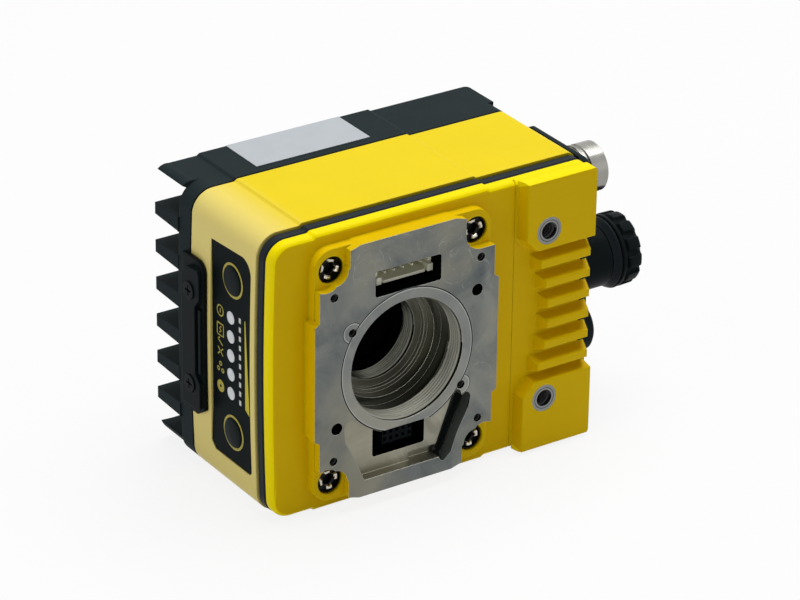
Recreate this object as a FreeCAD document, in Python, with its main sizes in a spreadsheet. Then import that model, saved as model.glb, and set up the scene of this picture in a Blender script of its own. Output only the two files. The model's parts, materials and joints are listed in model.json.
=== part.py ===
import FreeCAD, Part
import math
import os
from types import SimpleNamespace

import Sketcher

# Machine vision camera without its lens.
# X points right towards the connectors, Y points back, Z points up.
# The origin is the centre of the lens bore in the machined front face.
# Lengths are millimetres. Front and back mean small and large Y.

DRIVING_DIMENSIONS = [
    # Overall envelope
    ("left_reach", 40.0),
    ("right_reach", 62.4),
    ("half_height", 41.5),
    ("side_bulge", 0.7),
    ("crown_rise", 0.6),
    ("crown_left", 26.8),
    ("crown_right", 32.6),
    ("crown_slope", 0.9),
    ("corner_radius", 6.5),
    ("right_corner_radius", 2.5),
    ("joint_gap", 0.1),
    ("running_gap", 0.3),
    # Front casting, depths behind the machined face
    ("face_depth", 5.2),
    ("boss_depth", 1.4),
    ("plateau_depth", 2.4),
    ("casting_back", 8.5),
    ("front_inset", 0.6),
    ("front_edge_round", 1.6),
    ("skirt_thickness", 2.0),
    ("skirt_back", 15.5),
    # Machined pad
    ("pad_top", 38.0),
    ("pad_top_half_width", 15.0),
    ("pad_shoulder_half_width", 18.4),
    ("pad_shoulder_height", 37.0),
    ("pad_side", 27.9),
    ("pad_side_height", 27.0),
    ("pad_waist_side", 29.4),
    ("pad_waist_height", 17.0),
    ("pad_notch_round", 5.0),
    # Lens bore
    ("lens_thread_radius", 18.0),
    ("lens_thread_length", 7.1),
    ("relief_radius", 18.4),
    ("relief_depth", 11.0),
    ("step_radius", 16.0),
    ("step_depth", 14.2),
    ("groove_radius", 14.9),
    ("groove_depth", 15.6),
    ("inner_thread_radius", 12.7),
    ("inner_thread_end", 21.4),
    ("aperture_radius", 9.5),
    ("barrel_radius", 20.2),
    ("barrel_back", 22.9),
    ("ring_radius", 20.9),
    ("ring_line", 0.35),
    ("ear_spot_x", 17.6),
    ("ear_spot_z", 12.6),
    # Holes in the machined pad
    ("tap_spot_x", 23.4),
    ("tap_spot_z", 24.5),
    ("tap_radius", 1.25),
    ("tap_length", 7.0),
    ("dowel_spot_x", 22.4),
    ("dowel_spot_z", 14.9),
    ("dowel_radius", 1.75),
    ("dowel_length", 6.0),
    # Captive screws
    ("screw_spot_x", 22.9),
    ("screw_spot_z", 31.6),
    ("screw_head_radius", 3.65),
    ("screw_head_face", 2.9),
    ("screw_head_length", 3.2),
    ("screw_shank_radius", 2.0),
    ("screw_socket_radius", 1.9),
    ("screw_socket_depth", 1.9),
    ("screw_length", 34.0),
    ("plateau_side", 28.1),
    ("plateau_top", 37.6),
    ("plateau_round", 5.4),
    # Openings in the machined pad
    ("drive_window_half_width", 10.5),
    ("drive_window_low", 21.1),
    ("drive_window_high", 28.8),
    ("expansion_window_left", 9.0),
    ("expansion_window_right", 7.8),
    ("expansion_window_low", 28.7),
    ("expansion_window_high", 19.7),
    ("expansion_socket_left", 4.4),
    ("expansion_socket_low", 27.2),
    ("expansion_socket_front", 5.2),
    ("contact_pitch", 2.0),
    ("milled_depth", 3.0),
    ("relief_bottom", 33.1),
    ("relief_reach", 20.0),
    ("channel_depth", 6.0),
    # Right-hand pads, inserts and grip ribs
    ("grip_left", 23.6),
    ("grip_half_height", 19.4),
    ("grip_floor_side", 2.1),
    ("insert_spot_x", 15.6),
    ("insert_spot_z", 25.7),
    ("insert_radius", 4.0),
    ("insert_bore_radius", 2.5),
    ("insert_length", 7.0),
    ("insert_boss_radius", 6.2),
    ("insert_boss_back", 11.0),
    ("rib_count", 6),
    ("rib_pitch", 6.27),
    ("rib_crest", 2.1),
    ("rib_flank_degrees", 19),
    ("rib_left", 15.0),
    ("rib_arc", 0.46),
    # Wrap cover
    ("cover_front", 12.3),
    ("cover_back", 44.7),
    ("cover_wall", 2.2),
    # Rear housing with fins
    ("rear_front", 45.3),
    ("fin_root", 51.3),
    ("rear_back", 64.3),
    ("fin_count", 6),
    ("fin_pitch", 11.3),
    ("fin_offset", 1.25),
    ("fin_tip_thickness", 3.4),
    ("fin_root_thickness", 4.3),
    ("fin_corner_round", 1.5),
    ("top_plate_thickness", 3.0),
    ("bottom_plate_thickness", 4.7),
    ("pillar_radius", 4.2),
    ("pillar_front", 20.0),
    ("lip_front", 40.5),
    # Control panel on the left side
    ("overlay_face", 39.95),
    ("overlay_thickness", 0.55),
    ("overlay_front", 14.6),
    ("overlay_back", 34.6),
    ("overlay_top", 33.0),
    ("overlay_bottom", 30.9),
    ("button_depth", 24.1),
    ("panel_centre", 0.95),
    ("button_spacing", 45.8),
    ("button_radius", 4.2),
    ("button_travel", 0.4),
    ("button_flange_radius", 5.0),
    ("light_depth", 25.3),
    ("light_pitch", 5.7),
    ("light_count", 5),
    ("light_radius", 1.85),
    ("ui_board_outer", 35.9),
    ("ui_board_thickness", 1.2),
    # Memory card door
    ("door_centre_z", 0.6),
    ("door_front", 36.2),
    ("door_back", 46.9),
    ("door_half_height", 23.3),
    ("door_face", 43.2),
    ("door_flange_face", 41.9),
    ("door_notch_half_height", 20.6),
    ("door_notch_front", 38.2),
    ("door_screw_depth", 41.4),
    ("door_screw_offset", 14.1),
    ("door_screw_radius", 2.5),
    # Connector side
    ("panel_face", 1.8),
    ("panel_front", 8.9),
    ("panel_back", 36.3),
    ("panel_half_height", 40.3),
    ("panel_plateau", 3.8),
    ("nut_back", 4.4),
    ("connector_depth", 25.0),
    ("io_height", 28.2),
    ("network_height", 0.4),
    ("light_port_height", 20.4),
    ("io_shell_radius", 7.25),
    ("io_shell_end", 16.5),
    ("io_bore_radius", 5.6),
    ("sleeve_radius", 9.35),
    ("sleeve_end", 17.6),
    ("sleeve_bore_radius", 6.6),
    ("cap_head_radius", 10.4),
    ("cap_head_front", 20.2),
    ("cap_head_end", 27.2),
    ("cap_plug_radius", 6.3),
    ("cap_plug_start", 12.0),
    ("cap_rib_count", 9),
    ("light_shell_radius", 7.5),
    ("light_shell_end", 13.5),
    ("light_bore_radius", 5.6),
    # Boards
    ("board_thickness", 1.6),
    ("interface_board_front", 12.4),
    ("sensor_board_front", 26.6),
    ("processor_board_front", 33.0),
    ("power_board_front", 41.2),
    ("board_half_height", 26.0),
    ("board_left", 31.0),
    ("board_right", 9.4),
]

# Sizes above that are measured outwards or inwards from right_reach
OUTWARDS = ("panel_face", "panel_plateau", "io_shell_end", "sleeve_end", "cap_head_front", "cap_head_end",
            "cap_plug_start", "light_shell_end")
INWARDS = ("insert_spot_x", "grip_left", "rib_left", "board_right", "crown_right", "nut_back")

doc = FreeCAD.newDocument("vision_camera")
sheet = doc.addObject("Spreadsheet::Sheet", "Sizes")
sheet.Label = "Sizes"
V = FreeCAD.Vector


class Size:
    """A length that carries its number and the sheet formula that gives it."""

    def __init__(self, number, formula):
        self.number = number
        self.formula = formula

    def _join(self, other, sign, number):
        return Size(number, "(%s %s %s)" % (self.formula, sign, other.formula))

    def __add__(self, other):
        other = as_size(other)
        return self._join(other, "+", self.number + other.number)

    def __sub__(self, other):
        other = as_size(other)
        return self._join(other, "-", self.number - other.number)

    def __mul__(self, other):
        other = as_size(other)
        return self._join(other, "*", self.number * other.number)

    def __truediv__(self, other):
        other = as_size(other)
        return self._join(other, "/", self.number / other.number)

    def __radd__(self, other):
        return as_size(other) + self

    def __rsub__(self, other):
        return as_size(other) - self

    def __rmul__(self, other):
        return as_size(other) * self

    def __neg__(self):
        return Size(-self.number, "(0 - %s)" % self.formula)


def as_size(value):
    if isinstance(value, Size):
        return value
    return Size(float(value), "%.6g" % value)


def fill_sheet():
    """Write the driving dimensions and return them by name."""
    sizes = {}
    for row, (name, number) in enumerate(DRIVING_DIMENSIONS, start=1):
        sheet.set("A%d" % row, name)
        sheet.set("B%d" % row, "%g" % number)
        sheet.setAlias("B%d" % row, name)
        sizes[name] = Size(float(number), "Sizes.%s" % name)
    doc.recompute()
    for name in OUTWARDS:
        sizes[name] = sizes["right_reach"] + sizes[name]
    for name in INWARDS:
        sizes[name] = sizes["right_reach"] - sizes[name]
    return SimpleNamespace(**sizes)


S = fill_sheet()

# Places that several pieces share
COVER_TOP = S.half_height + S.crown_rise
SKIRT_INSET = S.cover_wall + S.running_gap
SIGNS = ((-1, -1), (1, -1), (1, 1), (-1, 1))
BUTTON_HEIGHTS = (S.panel_centre + S.button_spacing / 2, S.panel_centre - S.button_spacing / 2)
LIGHT_HEIGHTS = [
    S.panel_centre + S.light_pitch * (index - (int(S.light_count.number) - 1) / 2)
    for index in range(int(S.light_count.number))
]
DOOR_SCREW_HEIGHTS = (S.door_centre_z + S.door_screw_offset, S.door_centre_z - S.door_screw_offset)
CARD_PASSAGE = (S.door_centre_z - S.door_notch_half_height, S.door_centre_z + S.door_notch_half_height)
OVERLAY_FLOOR = -S.overlay_face + S.overlay_thickness
BOARD_POSTS = [(S.board_right - 3, 1), (S.board_right - 3, -1), (-S.board_left + 3, 1), (-S.board_left + 3,
        -1)]
POST_HEIGHT = S.board_half_height - 3
SENSOR_POST = 19
nodes = []


# Drawing helpers

def keep(label, thing):
    """Give a finished sub-part its name and put it on the export list."""
    thing.Label = label
    nodes.append(thing)
    return thing


def new_body(name):
    return doc.addObject("PartDesign::Body", name)


def origin_plane(body, role):
    return [item for item in body.Origin.OriginFeatures if item.Role == role][0]


def bind(thing, path, value):
    thing.setExpression(path, as_size(value).formula)


def new_sketch(body, name, role, shift):
    """Attach a sketch to an origin plane, moved by shift in the plane's own axes."""
    sketch = body.newObject("Sketcher::SketchObject", name)
    sketch.AttachmentSupport = [(origin_plane(body, role), "")]
    sketch.MapMode = "FlatFace"
    for axis, distance in zip("xyz", shift):
        bind(sketch, "AttachmentOffset.Base.%s" % axis, distance)
    return sketch


def arc_between(start, end, radius):
    """Short arc from start to end; a positive radius turns left."""
    chord = end - start
    half = chord.Length / 2
    across = V(-chord.y, chord.x, 0).normalize()
    side = 1 if radius > 0 else -1
    rise = abs(radius) - math.sqrt(max(radius * radius - half * half, 0))
    middle = (start + end) / 2 - across * (side * rise)
    return Part.ArcOfCircle(start, middle, end) if side > 0 else Part.ArcOfCircle(end, middle, start)


def draw_loop(sketch, points):
    """Closed loop of (x, y) or (x, y, radius of the arc that arrives there)."""
    count = len(points)
    spots = [V(as_size(point[0]).number, as_size(point[1]).number, 0) for point in points]
    first = sketch.GeometryCount
    pieces = []
    ends = []
    bends = []
    for index in range(count):
        following = points[(index + 1) % count]
        start, end = spots[index], spots[(index + 1) % count]
        if len(following) > 2:
            radius = as_size(following[2])
            pieces.append(arc_between(start, end, radius.number))
            ends.append((1, 2) if radius.number > 0 else (2, 1))
            bends.append((first + index, radius if radius.number > 0 else -radius))
        else:
            pieces.append(Part.LineSegment(start, end))
            ends.append((1, 2))
    sketch.addGeometry(pieces, False)
    rules = []
    for index in range(count):
        after = (index + 1) % count
        rules.append(Sketcher.Constraint(
            "Coincident", first + index, ends[index][1], first + after, ends[after][0]))
    sketch.addConstraint(rules)
    for index, point in enumerate(points):
        for direction, value in (("DistanceX", point[0]), ("DistanceY", point[1])):
            value = as_size(value)
            rule = sketch.addConstraint(Sketcher.Constraint(
                direction, -1, 1, first + index, ends[index][0], value.number))
            bind(sketch, "Constraints[%d]" % rule, value)
    for piece, radius in bends:
        rule = sketch.addConstraint(Sketcher.Constraint("Radius", piece, radius.number))
        bind(sketch, "Constraints[%d]" % rule, radius)


def draw_circle(sketch, x, y, radius):
    x, y, radius = as_size(x), as_size(y), as_size(radius)
    index = sketch.addGeometry(Part.Circle(V(x.number, y.number, 0), V(0, 0, 1), radius.number), False)
    for kind, target, value in (("DistanceX", (-1, 1, index, 3), x), ("DistanceY", (-1, 1, index, 3), y),
                                ("Radius", (index,), radius)):
        rule = sketch.addConstraint(Sketcher.Constraint(kind, *target, value.number))
        bind(sketch, "Constraints[%d]" % rule, value)


def draw(sketch, shapes):
    """Each shape is a loop of points, or a circle given as ("circle", x, y, radius)."""
    for shape in shapes:
        if shape[0] == "circle":
            draw_circle(sketch, *shape[1:])
        else:
            draw_loop(sketch, shape)


# For each origin plane: the sign of its normal along the extrusion axis
PLANE_SIGN = {"XZ_Plane": -1, "YZ_Plane": 1, "XY_Plane": 1}


def extrude(body, name, role, start, length, shapes, cut=False, taper=None):
    """Extrude towards the positive axis from start, adding to the body or cutting it."""
    sign = PLANE_SIGN[role]
    sketch = new_sketch(body, name + "_sketch", role, (0, 0, as_size(start) * sign))
    draw(sketch, shapes)
    feature = body.newObject("PartDesign::Pocket" if cut else "PartDesign::Pad", name)
    feature.Profile = sketch
    feature.Reversed = (sign > 0) if cut else (sign < 0)
    bind(feature, "Length", length)
    if taper is not None:
        bind(feature, "TaperAngle", taper)
    sketch.Visibility = False
    return feature


def turn(body, name, axis, at, profile, cut=False):
    """Turn a profile about an axis along X through (y, z), or along Y through (x, z).

    The profile's points are (distance along the axis, radius).
    """
    if axis == "X":
        sketch = new_sketch(body, name + "_sketch", "XY_Plane", (0, at[0], at[1]))
        draw(sketch, [profile])
    else:
        sketch = new_sketch(body, name + "_sketch", "XY_Plane", (at[0], 0, at[1]))
        draw(sketch, [[(point[1], point[0]) + tuple(-bend for bend in point[2:]) for point in profile]])
    feature = body.newObject("PartDesign::Groove" if cut else "PartDesign::Revolution", name)
    feature.Profile = sketch
    feature.ReferenceAxis = (sketch, ["H_Axis" if axis == "X" else "V_Axis"])
    feature.Angle = 360
    sketch.Visibility = False
    return feature


def pattern(body, name, originals, role, count, pitch):
    """Repeat features along the normal of an origin plane."""
    repeat = body.newObject("PartDesign::LinearPattern", name)
    repeat.Originals = originals
    repeat.Direction = (origin_plane(body, role), [""])
    bind(repeat, "Occurrences", count)
    bind(repeat, "Length", (count - 1) * pitch)
    body.Tip = repeat
    return repeat


def rectangle(low_x, low_y, high_x, high_y):
    return [(low_x, low_y), (high_x, low_y), (high_x, high_y), (low_x, high_y)]


def rounded(low_x, low_y, high_x, high_y, radius):
    """Rectangle with four equal round corners, drawn to the left."""
    return [
        (low_x + radius, low_y, radius), (high_x - radius, low_y), (high_x, low_y + radius, radius),
        (high_x, high_y - radius), (high_x - radius, high_y, radius), (low_x + radius, high_y),
        (low_x, high_y - radius, radius), (low_x, low_y + radius),
    ]


def box(name, low, high):
    """Part box between two corners."""
    item = doc.addObject("Part::Box", name)
    for prop, axis, a, b in zip(("Length", "Width", "Height"), "xyz", low, high):
        bind(item, prop, as_size(b) - a)
        bind(item, "Placement.Base.%s" % axis, a)
    return item


def rod(name, axis, start, length, at, radius):
    """Part cylinder along X at (y, z) or along Y at (x, z)."""
    item = doc.addObject("Part::Cylinder", name)
    bind(item, "Radius", radius)
    bind(item, "Height", length)
    if axis == "X":
        item.Placement = FreeCAD.Placement(V(), FreeCAD.Rotation(V(0, 1, 0), 90))
        spot = (start, at[0], at[1])
    else:
        item.Placement = FreeCAD.Placement(V(), FreeCAD.Rotation(V(1, 0, 0), -90))
        spot = (at[0], start, at[1])
    for letter, value in zip("xyz", spot):
        bind(item, "Placement.Base.%s" % letter, value)
    return item


def fuse(name, items):
    item = doc.addObject("Part::MultiFuse", name)
    item.Shapes = items
    return item


def subtract(name, base, tool):
    item = doc.addObject("Part::Cut", name)
    item.Base = base
    item.Tool = tool
    return item


def group(name, items):
    """Several separate solids as one sub-part."""
    item = doc.addObject("Part::Compound", name)
    item.Links = items
    return item


def outline(inset, left_radius, right_radius, right_inset=None):
    """Contour of the camera seen from the front, moved inwards by inset."""
    right_inset = inset if right_inset is None else right_inset
    left = -S.left_reach + inset
    right = S.right_reach - right_inset
    top = S.half_height - inset
    crown = top + S.crown_rise
    slope = S.crown_slope
    side = top - left_radius
    bulge = (side * side + S.side_bulge * S.side_bulge) / (2 * S.side_bulge)
    return [
        (left + left_radius, top, -left_radius),
        (-S.crown_left, top),
        (-S.crown_left + slope, crown),
        (S.crown_right - slope, crown),
        (S.crown_right, top),
        (right - right_radius, top),
        (right, top - right_radius, -right_radius),
        (right, -(top - right_radius)),
        (right - right_radius, -top, -right_radius),
        (S.crown_right, -top),
        (S.crown_right - slope, -crown),
        (-S.crown_left + slope, -crown),
        (-S.crown_left, -top),
        (left + left_radius, -top),
        (left, -side, -left_radius),
        (left, side, -bulge),
    ]


# Front casting

def machined_pad():
    """Machined face: stepped sides and a round notch at each captive screw."""
    half = [
        (S.pad_top_half_width, S.pad_top),
        (S.pad_shoulder_half_width, S.pad_shoulder_height),
        (S.pad_shoulder_half_width, S.pad_side_height + S.pad_notch_round),
        (S.pad_shoulder_half_width + S.pad_notch_round, S.pad_side_height, S.pad_notch_round),
        (S.pad_side, S.pad_side_height),
        (S.pad_side, S.pad_waist_height + 1),
        (S.pad_waist_side, S.pad_waist_height),
    ]
    lower = [(x, -z) for x, z, *bend in reversed(half)]
    lower[3] = lower[3] + (S.pad_notch_round,)
    right = half + lower
    left = [(-x, z) for x, z, *bend in reversed(right)]
    left[4] = left[4] + (S.pad_notch_round,)
    left[10] = left[10] + (S.pad_notch_round,)
    return right + left


def front_housing():
    body = new_body("front_housing")
    face_to_back = S.casting_back - S.face_depth
    front = extrude(body, "front_slab", "XZ_Plane", S.face_depth, face_to_back,
                    [outline(S.front_inset, S.corner_radius - S.front_inset, S.right_corner_radius, 0)])
    doc.recompute()
    round_front_edge(body, front)
    inner = S.skirt_thickness + SKIRT_INSET
    extrude(body, "skirt", "XZ_Plane", S.casting_back, S.skirt_back - S.casting_back, [
        outline(SKIRT_INSET, S.corner_radius - SKIRT_INSET, 1),
        outline(inner, S.corner_radius - SKIRT_INSET, 1),
    ])
    extrude(body, "machined_pad", "XZ_Plane", 0, S.face_depth + S.joint_gap, [machined_pad()])
    extrude(body, "screw_plateaus", "XZ_Plane", S.plateau_depth, S.face_depth - S.plateau_depth + S.joint_gap,
            [rounded(-S.plateau_side, -S.plateau_top, S.plateau_side, S.plateau_top, S.plateau_round)],
            taper=3)
    for index, (x, z) in enumerate(SIGNS):
        extrude(body, "sensor_post_%d" % index, "XZ_Plane", S.casting_back - 1,
                S.sensor_board_front - S.casting_back + 1, [("circle", x * SENSOR_POST, z * SENSOR_POST,
                                                             2.6)])
    grip(body)
    extrude(body, "bore_barrel", "XZ_Plane", S.casting_back - 1, S.barrel_back - S.casting_back + 1,
            [("circle", 0, 0, S.barrel_radius)])
    turn(body, "lens_bore", "Y", (0, 0), [
        (-1, 0), (-1, S.lens_thread_radius), (S.lens_thread_length, S.lens_thread_radius),
        (S.lens_thread_length, S.relief_radius), (S.relief_depth, S.relief_radius),
        (S.relief_depth, S.step_radius), (S.step_depth, S.step_radius),
        (S.step_depth, S.groove_radius), (S.groove_depth, S.groove_radius),
        (S.groove_depth, S.inner_thread_radius), (S.inner_thread_end, S.inner_thread_radius),
        (S.inner_thread_end, S.aperture_radius), (S.barrel_back + 1, S.aperture_radius),
        (S.barrel_back + 1, 0),
    ], cut=True)
    front_openings(body)
    front_holes(body)
    return keep("front_housing", body)


def round_front_edge(body, pad):
    """Round the outer front edge of the casting."""
    names = []
    for number, edge in enumerate(pad.Shape.Edges, start=1):
        limits = edge.BoundBox
        if limits.YMax - limits.YMin < 1e-6 and abs(limits.YMin - S.face_depth.number) < 1e-6:
            names.append("Edge%d" % number)
    fillet = body.newObject("PartDesign::Fillet", "front_edge_round")
    fillet.Base = (pad, names)
    bind(fillet, "Radius", S.front_edge_round)
    body.Tip = fillet


def grip(body):
    """Two pads for the inserts and the ribs between them, on a lowered right-hand edge."""
    floor = S.right_reach - S.grip_floor_side
    edge = S.half_height - S.front_inset - 0.1
    extrude(body, "grip_recess", "XZ_Plane", 0, S.casting_back,
            [rectangle(floor, -S.grip_half_height, S.right_reach + 1, S.grip_half_height)], cut=True)
    for side in (1, -1):
        extrude(body, "insert_pad_%s" % ("upper" if side > 0 else "lower"), "XZ_Plane",
                S.boss_depth, S.face_depth - S.boss_depth + S.joint_gap,
                [[(S.grip_left + 0.9, side * edge), (S.grip_left + 0.9, side * (S.grip_half_height + 4.6)),
                  (S.grip_left + 4.6, side * (S.grip_half_height + 0.9)),
                  (S.right_reach, side * (S.grip_half_height + 0.9)), (S.right_reach, side * edge)]],
                taper=14)
        extrude(body, "insert_boss_%s" % ("upper" if side > 0 else "lower"), "XZ_Plane",
                S.casting_back - 1, S.insert_boss_back - S.casting_back + 1,
                [("circle", S.insert_spot_x, side * S.insert_spot_z, S.insert_boss_radius)])
    extrude(body, "grip_trim", "XZ_Plane", 0, S.face_depth + S.front_edge_round, [
        rectangle(S.grip_left - 1, -S.half_height - 3, S.right_reach + 3, S.half_height + 3),
        rounded(S.grip_left - 0.9, -edge - 0.3, S.right_reach, edge + 0.3, 1.4)], cut=True)
    crest = S.rib_crest / 2
    root = crest + 1.3
    bend = crest - 0.2
    right = S.right_reach
    rise = S.face_depth - S.boss_depth
    count = int(S.rib_count.number)
    for index in range(count):
        place = index - (count - 1) / 2
        low, high = S.rib_pitch * place - crest, S.rib_pitch * place + crest
        start = S.rib_left - S.rib_arc * place * place
        extrude(body, "rib_front_%d" % index, "XZ_Plane", S.boss_depth, rise + S.joint_gap,
                [rectangle(start, low, right - 1.4, high)], taper=S.rib_flank_degrees)
        extrude(body, "rib_side_%d" % index, "XZ_Plane", S.face_depth - S.joint_gap,
                S.casting_back - S.face_depth + S.joint_gap, [[
                    (floor - 1, S.rib_pitch * place - root), (floor, S.rib_pitch * place - root),
                    (right - bend, low), (right, low + bend, bend), (right, high - bend),
                    (right - bend, high, bend), (floor, S.rib_pitch * place + root),
                    (floor - 1, S.rib_pitch * place + root)]])


def front_openings(body):
    """Windows for the two headers, and the milled relief round the lower one."""
    extrude(body, "drive_window", "XZ_Plane", -1, S.casting_back + 2, [rounded(
        -S.drive_window_half_width, S.drive_window_low, S.drive_window_half_width, S.drive_window_high,
        0.8)], cut=True)
    low, reach = -S.relief_bottom, S.relief_reach
    bend = S.ring_radius + 0.4
    relief = [
        (16.4, -13.6), (-16.4, -13.6, -bend), (0.6 - reach, -14.1), (-reach, -15.7), (0.4 - reach, -20),
        (2.1 - reach, -23.1), (6.6 - reach, low), (12.4, low), (14, -31.5), (18.6, -18), (17.6, -14.4),
    ]
    extrude(body, "milled_relief", "XZ_Plane", -1, S.milled_depth + 1, [relief], cut=True)
    extrude(body, "relief_step", "XZ_Plane", -1, S.milled_depth + 2.4,
            [rounded(2.6, low, 12.4, low + 2.5, 0.5)], cut=True)
    channel = [
        (11.6, -31), (10.9, -33), (12.6, -34.6, 1.7), (14.8, -32.6), (16.6, -27.4), (20.4, -20), (20.9,
                -17.4),
        (19.2, -15.3, 1.9), (17, -16.6),
    ]
    extrude(body, "cable_channel", "XZ_Plane", -1, S.channel_depth + 1, [channel], cut=True)
    extrude(body, "expansion_window", "XZ_Plane", -1, S.casting_back + 2, [rounded(
        -S.expansion_window_left, -S.expansion_window_low, S.expansion_window_right, -S.expansion_window_high,
        0.8)], cut=True)


def front_holes(body):
    """Tapped, dowel, ear and insert holes, and the seats of the captive screws."""
    taps = [("circle", x * S.tap_spot_x, z * S.tap_spot_z, S.tap_radius) for x, z in SIGNS]
    ears = [("circle", side * S.ear_spot_x, -side * S.ear_spot_z, S.tap_radius) for side in (1, -1)]
    extrude(body, "tapped_holes", "XZ_Plane", -1, S.tap_length + 1, taps + ears, cut=True)
    dowels = [("circle", side * S.dowel_spot_x, side * S.dowel_spot_z, S.dowel_radius) for side in (1, -1)]
    extrude(body, "dowel_holes", "XZ_Plane", -1, S.dowel_length + 1, dowels, cut=True)
    seats = [("circle", x * S.screw_spot_x, z * S.screw_spot_z, S.screw_head_radius + 0.3) for x, z in SIGNS]
    extrude(body, "screw_seats", "XZ_Plane", -1, S.screw_head_face + S.screw_head_length + 1, seats, cut=True)
    passages = [("circle", x * S.screw_spot_x, z * S.screw_spot_z, S.screw_shank_radius + 0.3) for x,
                z in SIGNS]
    extrude(body, "screw_passages", "XZ_Plane", 0, S.skirt_back, passages, cut=True)
    bushes = [("circle", S.insert_spot_x, side * S.insert_spot_z, S.insert_radius + 0.02) for side in (1, -1)]
    extrude(body, "insert_holes", "XZ_Plane", 0, S.boss_depth + S.insert_length, bushes, cut=True)
    ring = S.ring_radius + S.ring_line
    extrude(body, "ring_line", "XZ_Plane", -1, 1.35, [
        ("circle", 0, 0, ring), ("circle", 0, 0, S.ring_radius)], cut=True)


def mounting_inserts():
    bushes = []
    for name, side in (("upper", 1), ("lower", -1)):
        at = (S.insert_spot_x, side * S.insert_spot_z)
        shell = rod("insert_%s_outside" % name, "Y", S.boss_depth, S.insert_length, at, S.insert_radius)
        hole = rod("insert_%s_thread" % name, "Y", S.boss_depth - 1, S.insert_length + 2, at,
                   S.insert_bore_radius)
        bushes.append(subtract("insert_%s" % name, shell, hole))
    return keep("mounting_inserts", group("mounting_inserts", bushes))


def captive_screws():
    screws = []
    for index, (x, z) in enumerate(SIGNS):
        at = (x * S.screw_spot_x, z * S.screw_spot_z)
        head = rod("screw_head_%d" % index, "Y", S.screw_head_face, S.screw_head_length, at,
                   S.screw_head_radius)
        shank = rod("screw_shank_%d" % index, "Y", S.screw_head_face + 1, S.screw_length, at,
                    S.screw_shank_radius)
        whole = fuse("screw_solid_%d" % index, [head, shank])
        lobes = []
        for turn_index in range(3):
            key = doc.addObject("Part::Box", "screw_key_%d_%d" % (index, turn_index))
            bind(key, "Length", 2 * S.screw_socket_radius)
            bind(key, "Width", S.screw_socket_depth + 1)
            bind(key, "Height", S.screw_socket_radius * 0.8)
            angle = math.radians(60 * turn_index)
            across, up = S.screw_socket_radius * math.cos(angle), S.screw_socket_radius * math.sin(angle)
            drop = S.screw_socket_radius * 0.4
            key.Placement = FreeCAD.Placement(V(), FreeCAD.Rotation(V(0, 1, 0), -60 * turn_index))
            bind(key, "Placement.Base.x", at[0] - across + drop * math.sin(angle))
            bind(key, "Placement.Base.y", S.screw_head_face - 1)
            bind(key, "Placement.Base.z", at[1] - up - drop * math.cos(angle))
            lobes.append(key)
        socket = fuse("screw_socket_%d" % index, lobes)
        screws.append(subtract("captive_screw_%d" % index, whole, socket))
    return keep("captive_screws", group("captive_screws", screws))


# Seals and covers

def seal_ring(name, front, back, outer_inset, chamfer=None, passage=None):
    """Closed seal that follows the camera's contour, with both outer edges broken."""
    body = new_body(name)
    inner_inset = SKIRT_INSET - S.joint_gap
    ring = extrude(body, name + "_ring", "XZ_Plane", front, back - front, [
        outline(outer_inset, S.corner_radius - outer_inset, S.right_corner_radius - outer_inset),
        outline(inner_inset, S.corner_radius - inner_inset, 0.9),
    ])
    if chamfer is not None:
        doc.recompute()
        names = []
        for number, edge in enumerate(ring.Shape.Edges, start=1):
            middle = edge.valueAt((edge.FirstParameter + edge.LastParameter) / 2)
            flat = edge.BoundBox.YMax - edge.BoundBox.YMin < 1e-6
            if flat and near_outline(middle, outer_inset):
                names.append("Edge%d" % number)
        broken = body.newObject("PartDesign::Chamfer", name + "_broken_edges")
        broken.Base = (ring, names)
        bind(broken, "Size", chamfer)
        body.Tip = broken
    if passage is not None:
        extrude(body, name + "_passage", "YZ_Plane", -S.left_reach - 2, 6,
                [rectangle(front - 1, passage[0], back + 1, passage[1])], cut=True)
    return keep(name, body)


def near_outline(point, inset):
    """True for a point on the outer loop of a ring, False on its inner loop."""
    left = -S.left_reach.number + inset
    right = S.right_reach.number - inset
    top = S.half_height.number - inset
    deep = min(point.x - left, right - point.x, top - abs(point.z))
    return deep < (S.corner_radius.number - inset) * 0.3 + 0.05


def connector_window():
    """Window in the right-hand wall, behind the connector panel, in Y and Z."""
    half = S.panel_half_height - 3
    return rounded(S.cover_front + 2, -half, S.panel_back - 1.2, half, 3)


def wrap_cover():
    body = new_body("wrap_cover")
    depth = S.cover_back - S.cover_front
    extrude(body, "cover_shell", "XZ_Plane", S.cover_front, depth, [
        outline(0, S.corner_radius, S.right_corner_radius),
        outline(S.cover_wall, S.corner_radius - S.cover_wall, 1),
    ])
    extrude(body, "overlay_recess", "YZ_Plane", -S.left_reach - 3, S.left_reach + 3 + OVERLAY_FLOOR,
            [overlay_shape(S.joint_gap)], cut=True)
    through = S.cover_wall + 4
    wells = [("circle", S.button_depth, height, S.button_radius + S.running_gap) for height in BUTTON_HEIGHTS]
    lights = [("circle", S.light_depth, height, S.light_radius + 0.05) for height in LIGHT_HEIGHTS]
    extrude(body, "button_wells", "YZ_Plane", -S.left_reach - 2, through, wells + lights, cut=True)
    low, high = CARD_PASSAGE
    extrude(body, "card_notch", "YZ_Plane", -S.left_reach - 2, through,
            [rectangle(S.door_notch_front, low, S.cover_back + 1, high)], cut=True)
    extrude(body, "connector_window", "YZ_Plane", S.right_reach - S.cover_wall - 1, S.cover_wall + 2, [
        connector_window()], cut=True)
    return keep("wrap_cover", body)


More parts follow.
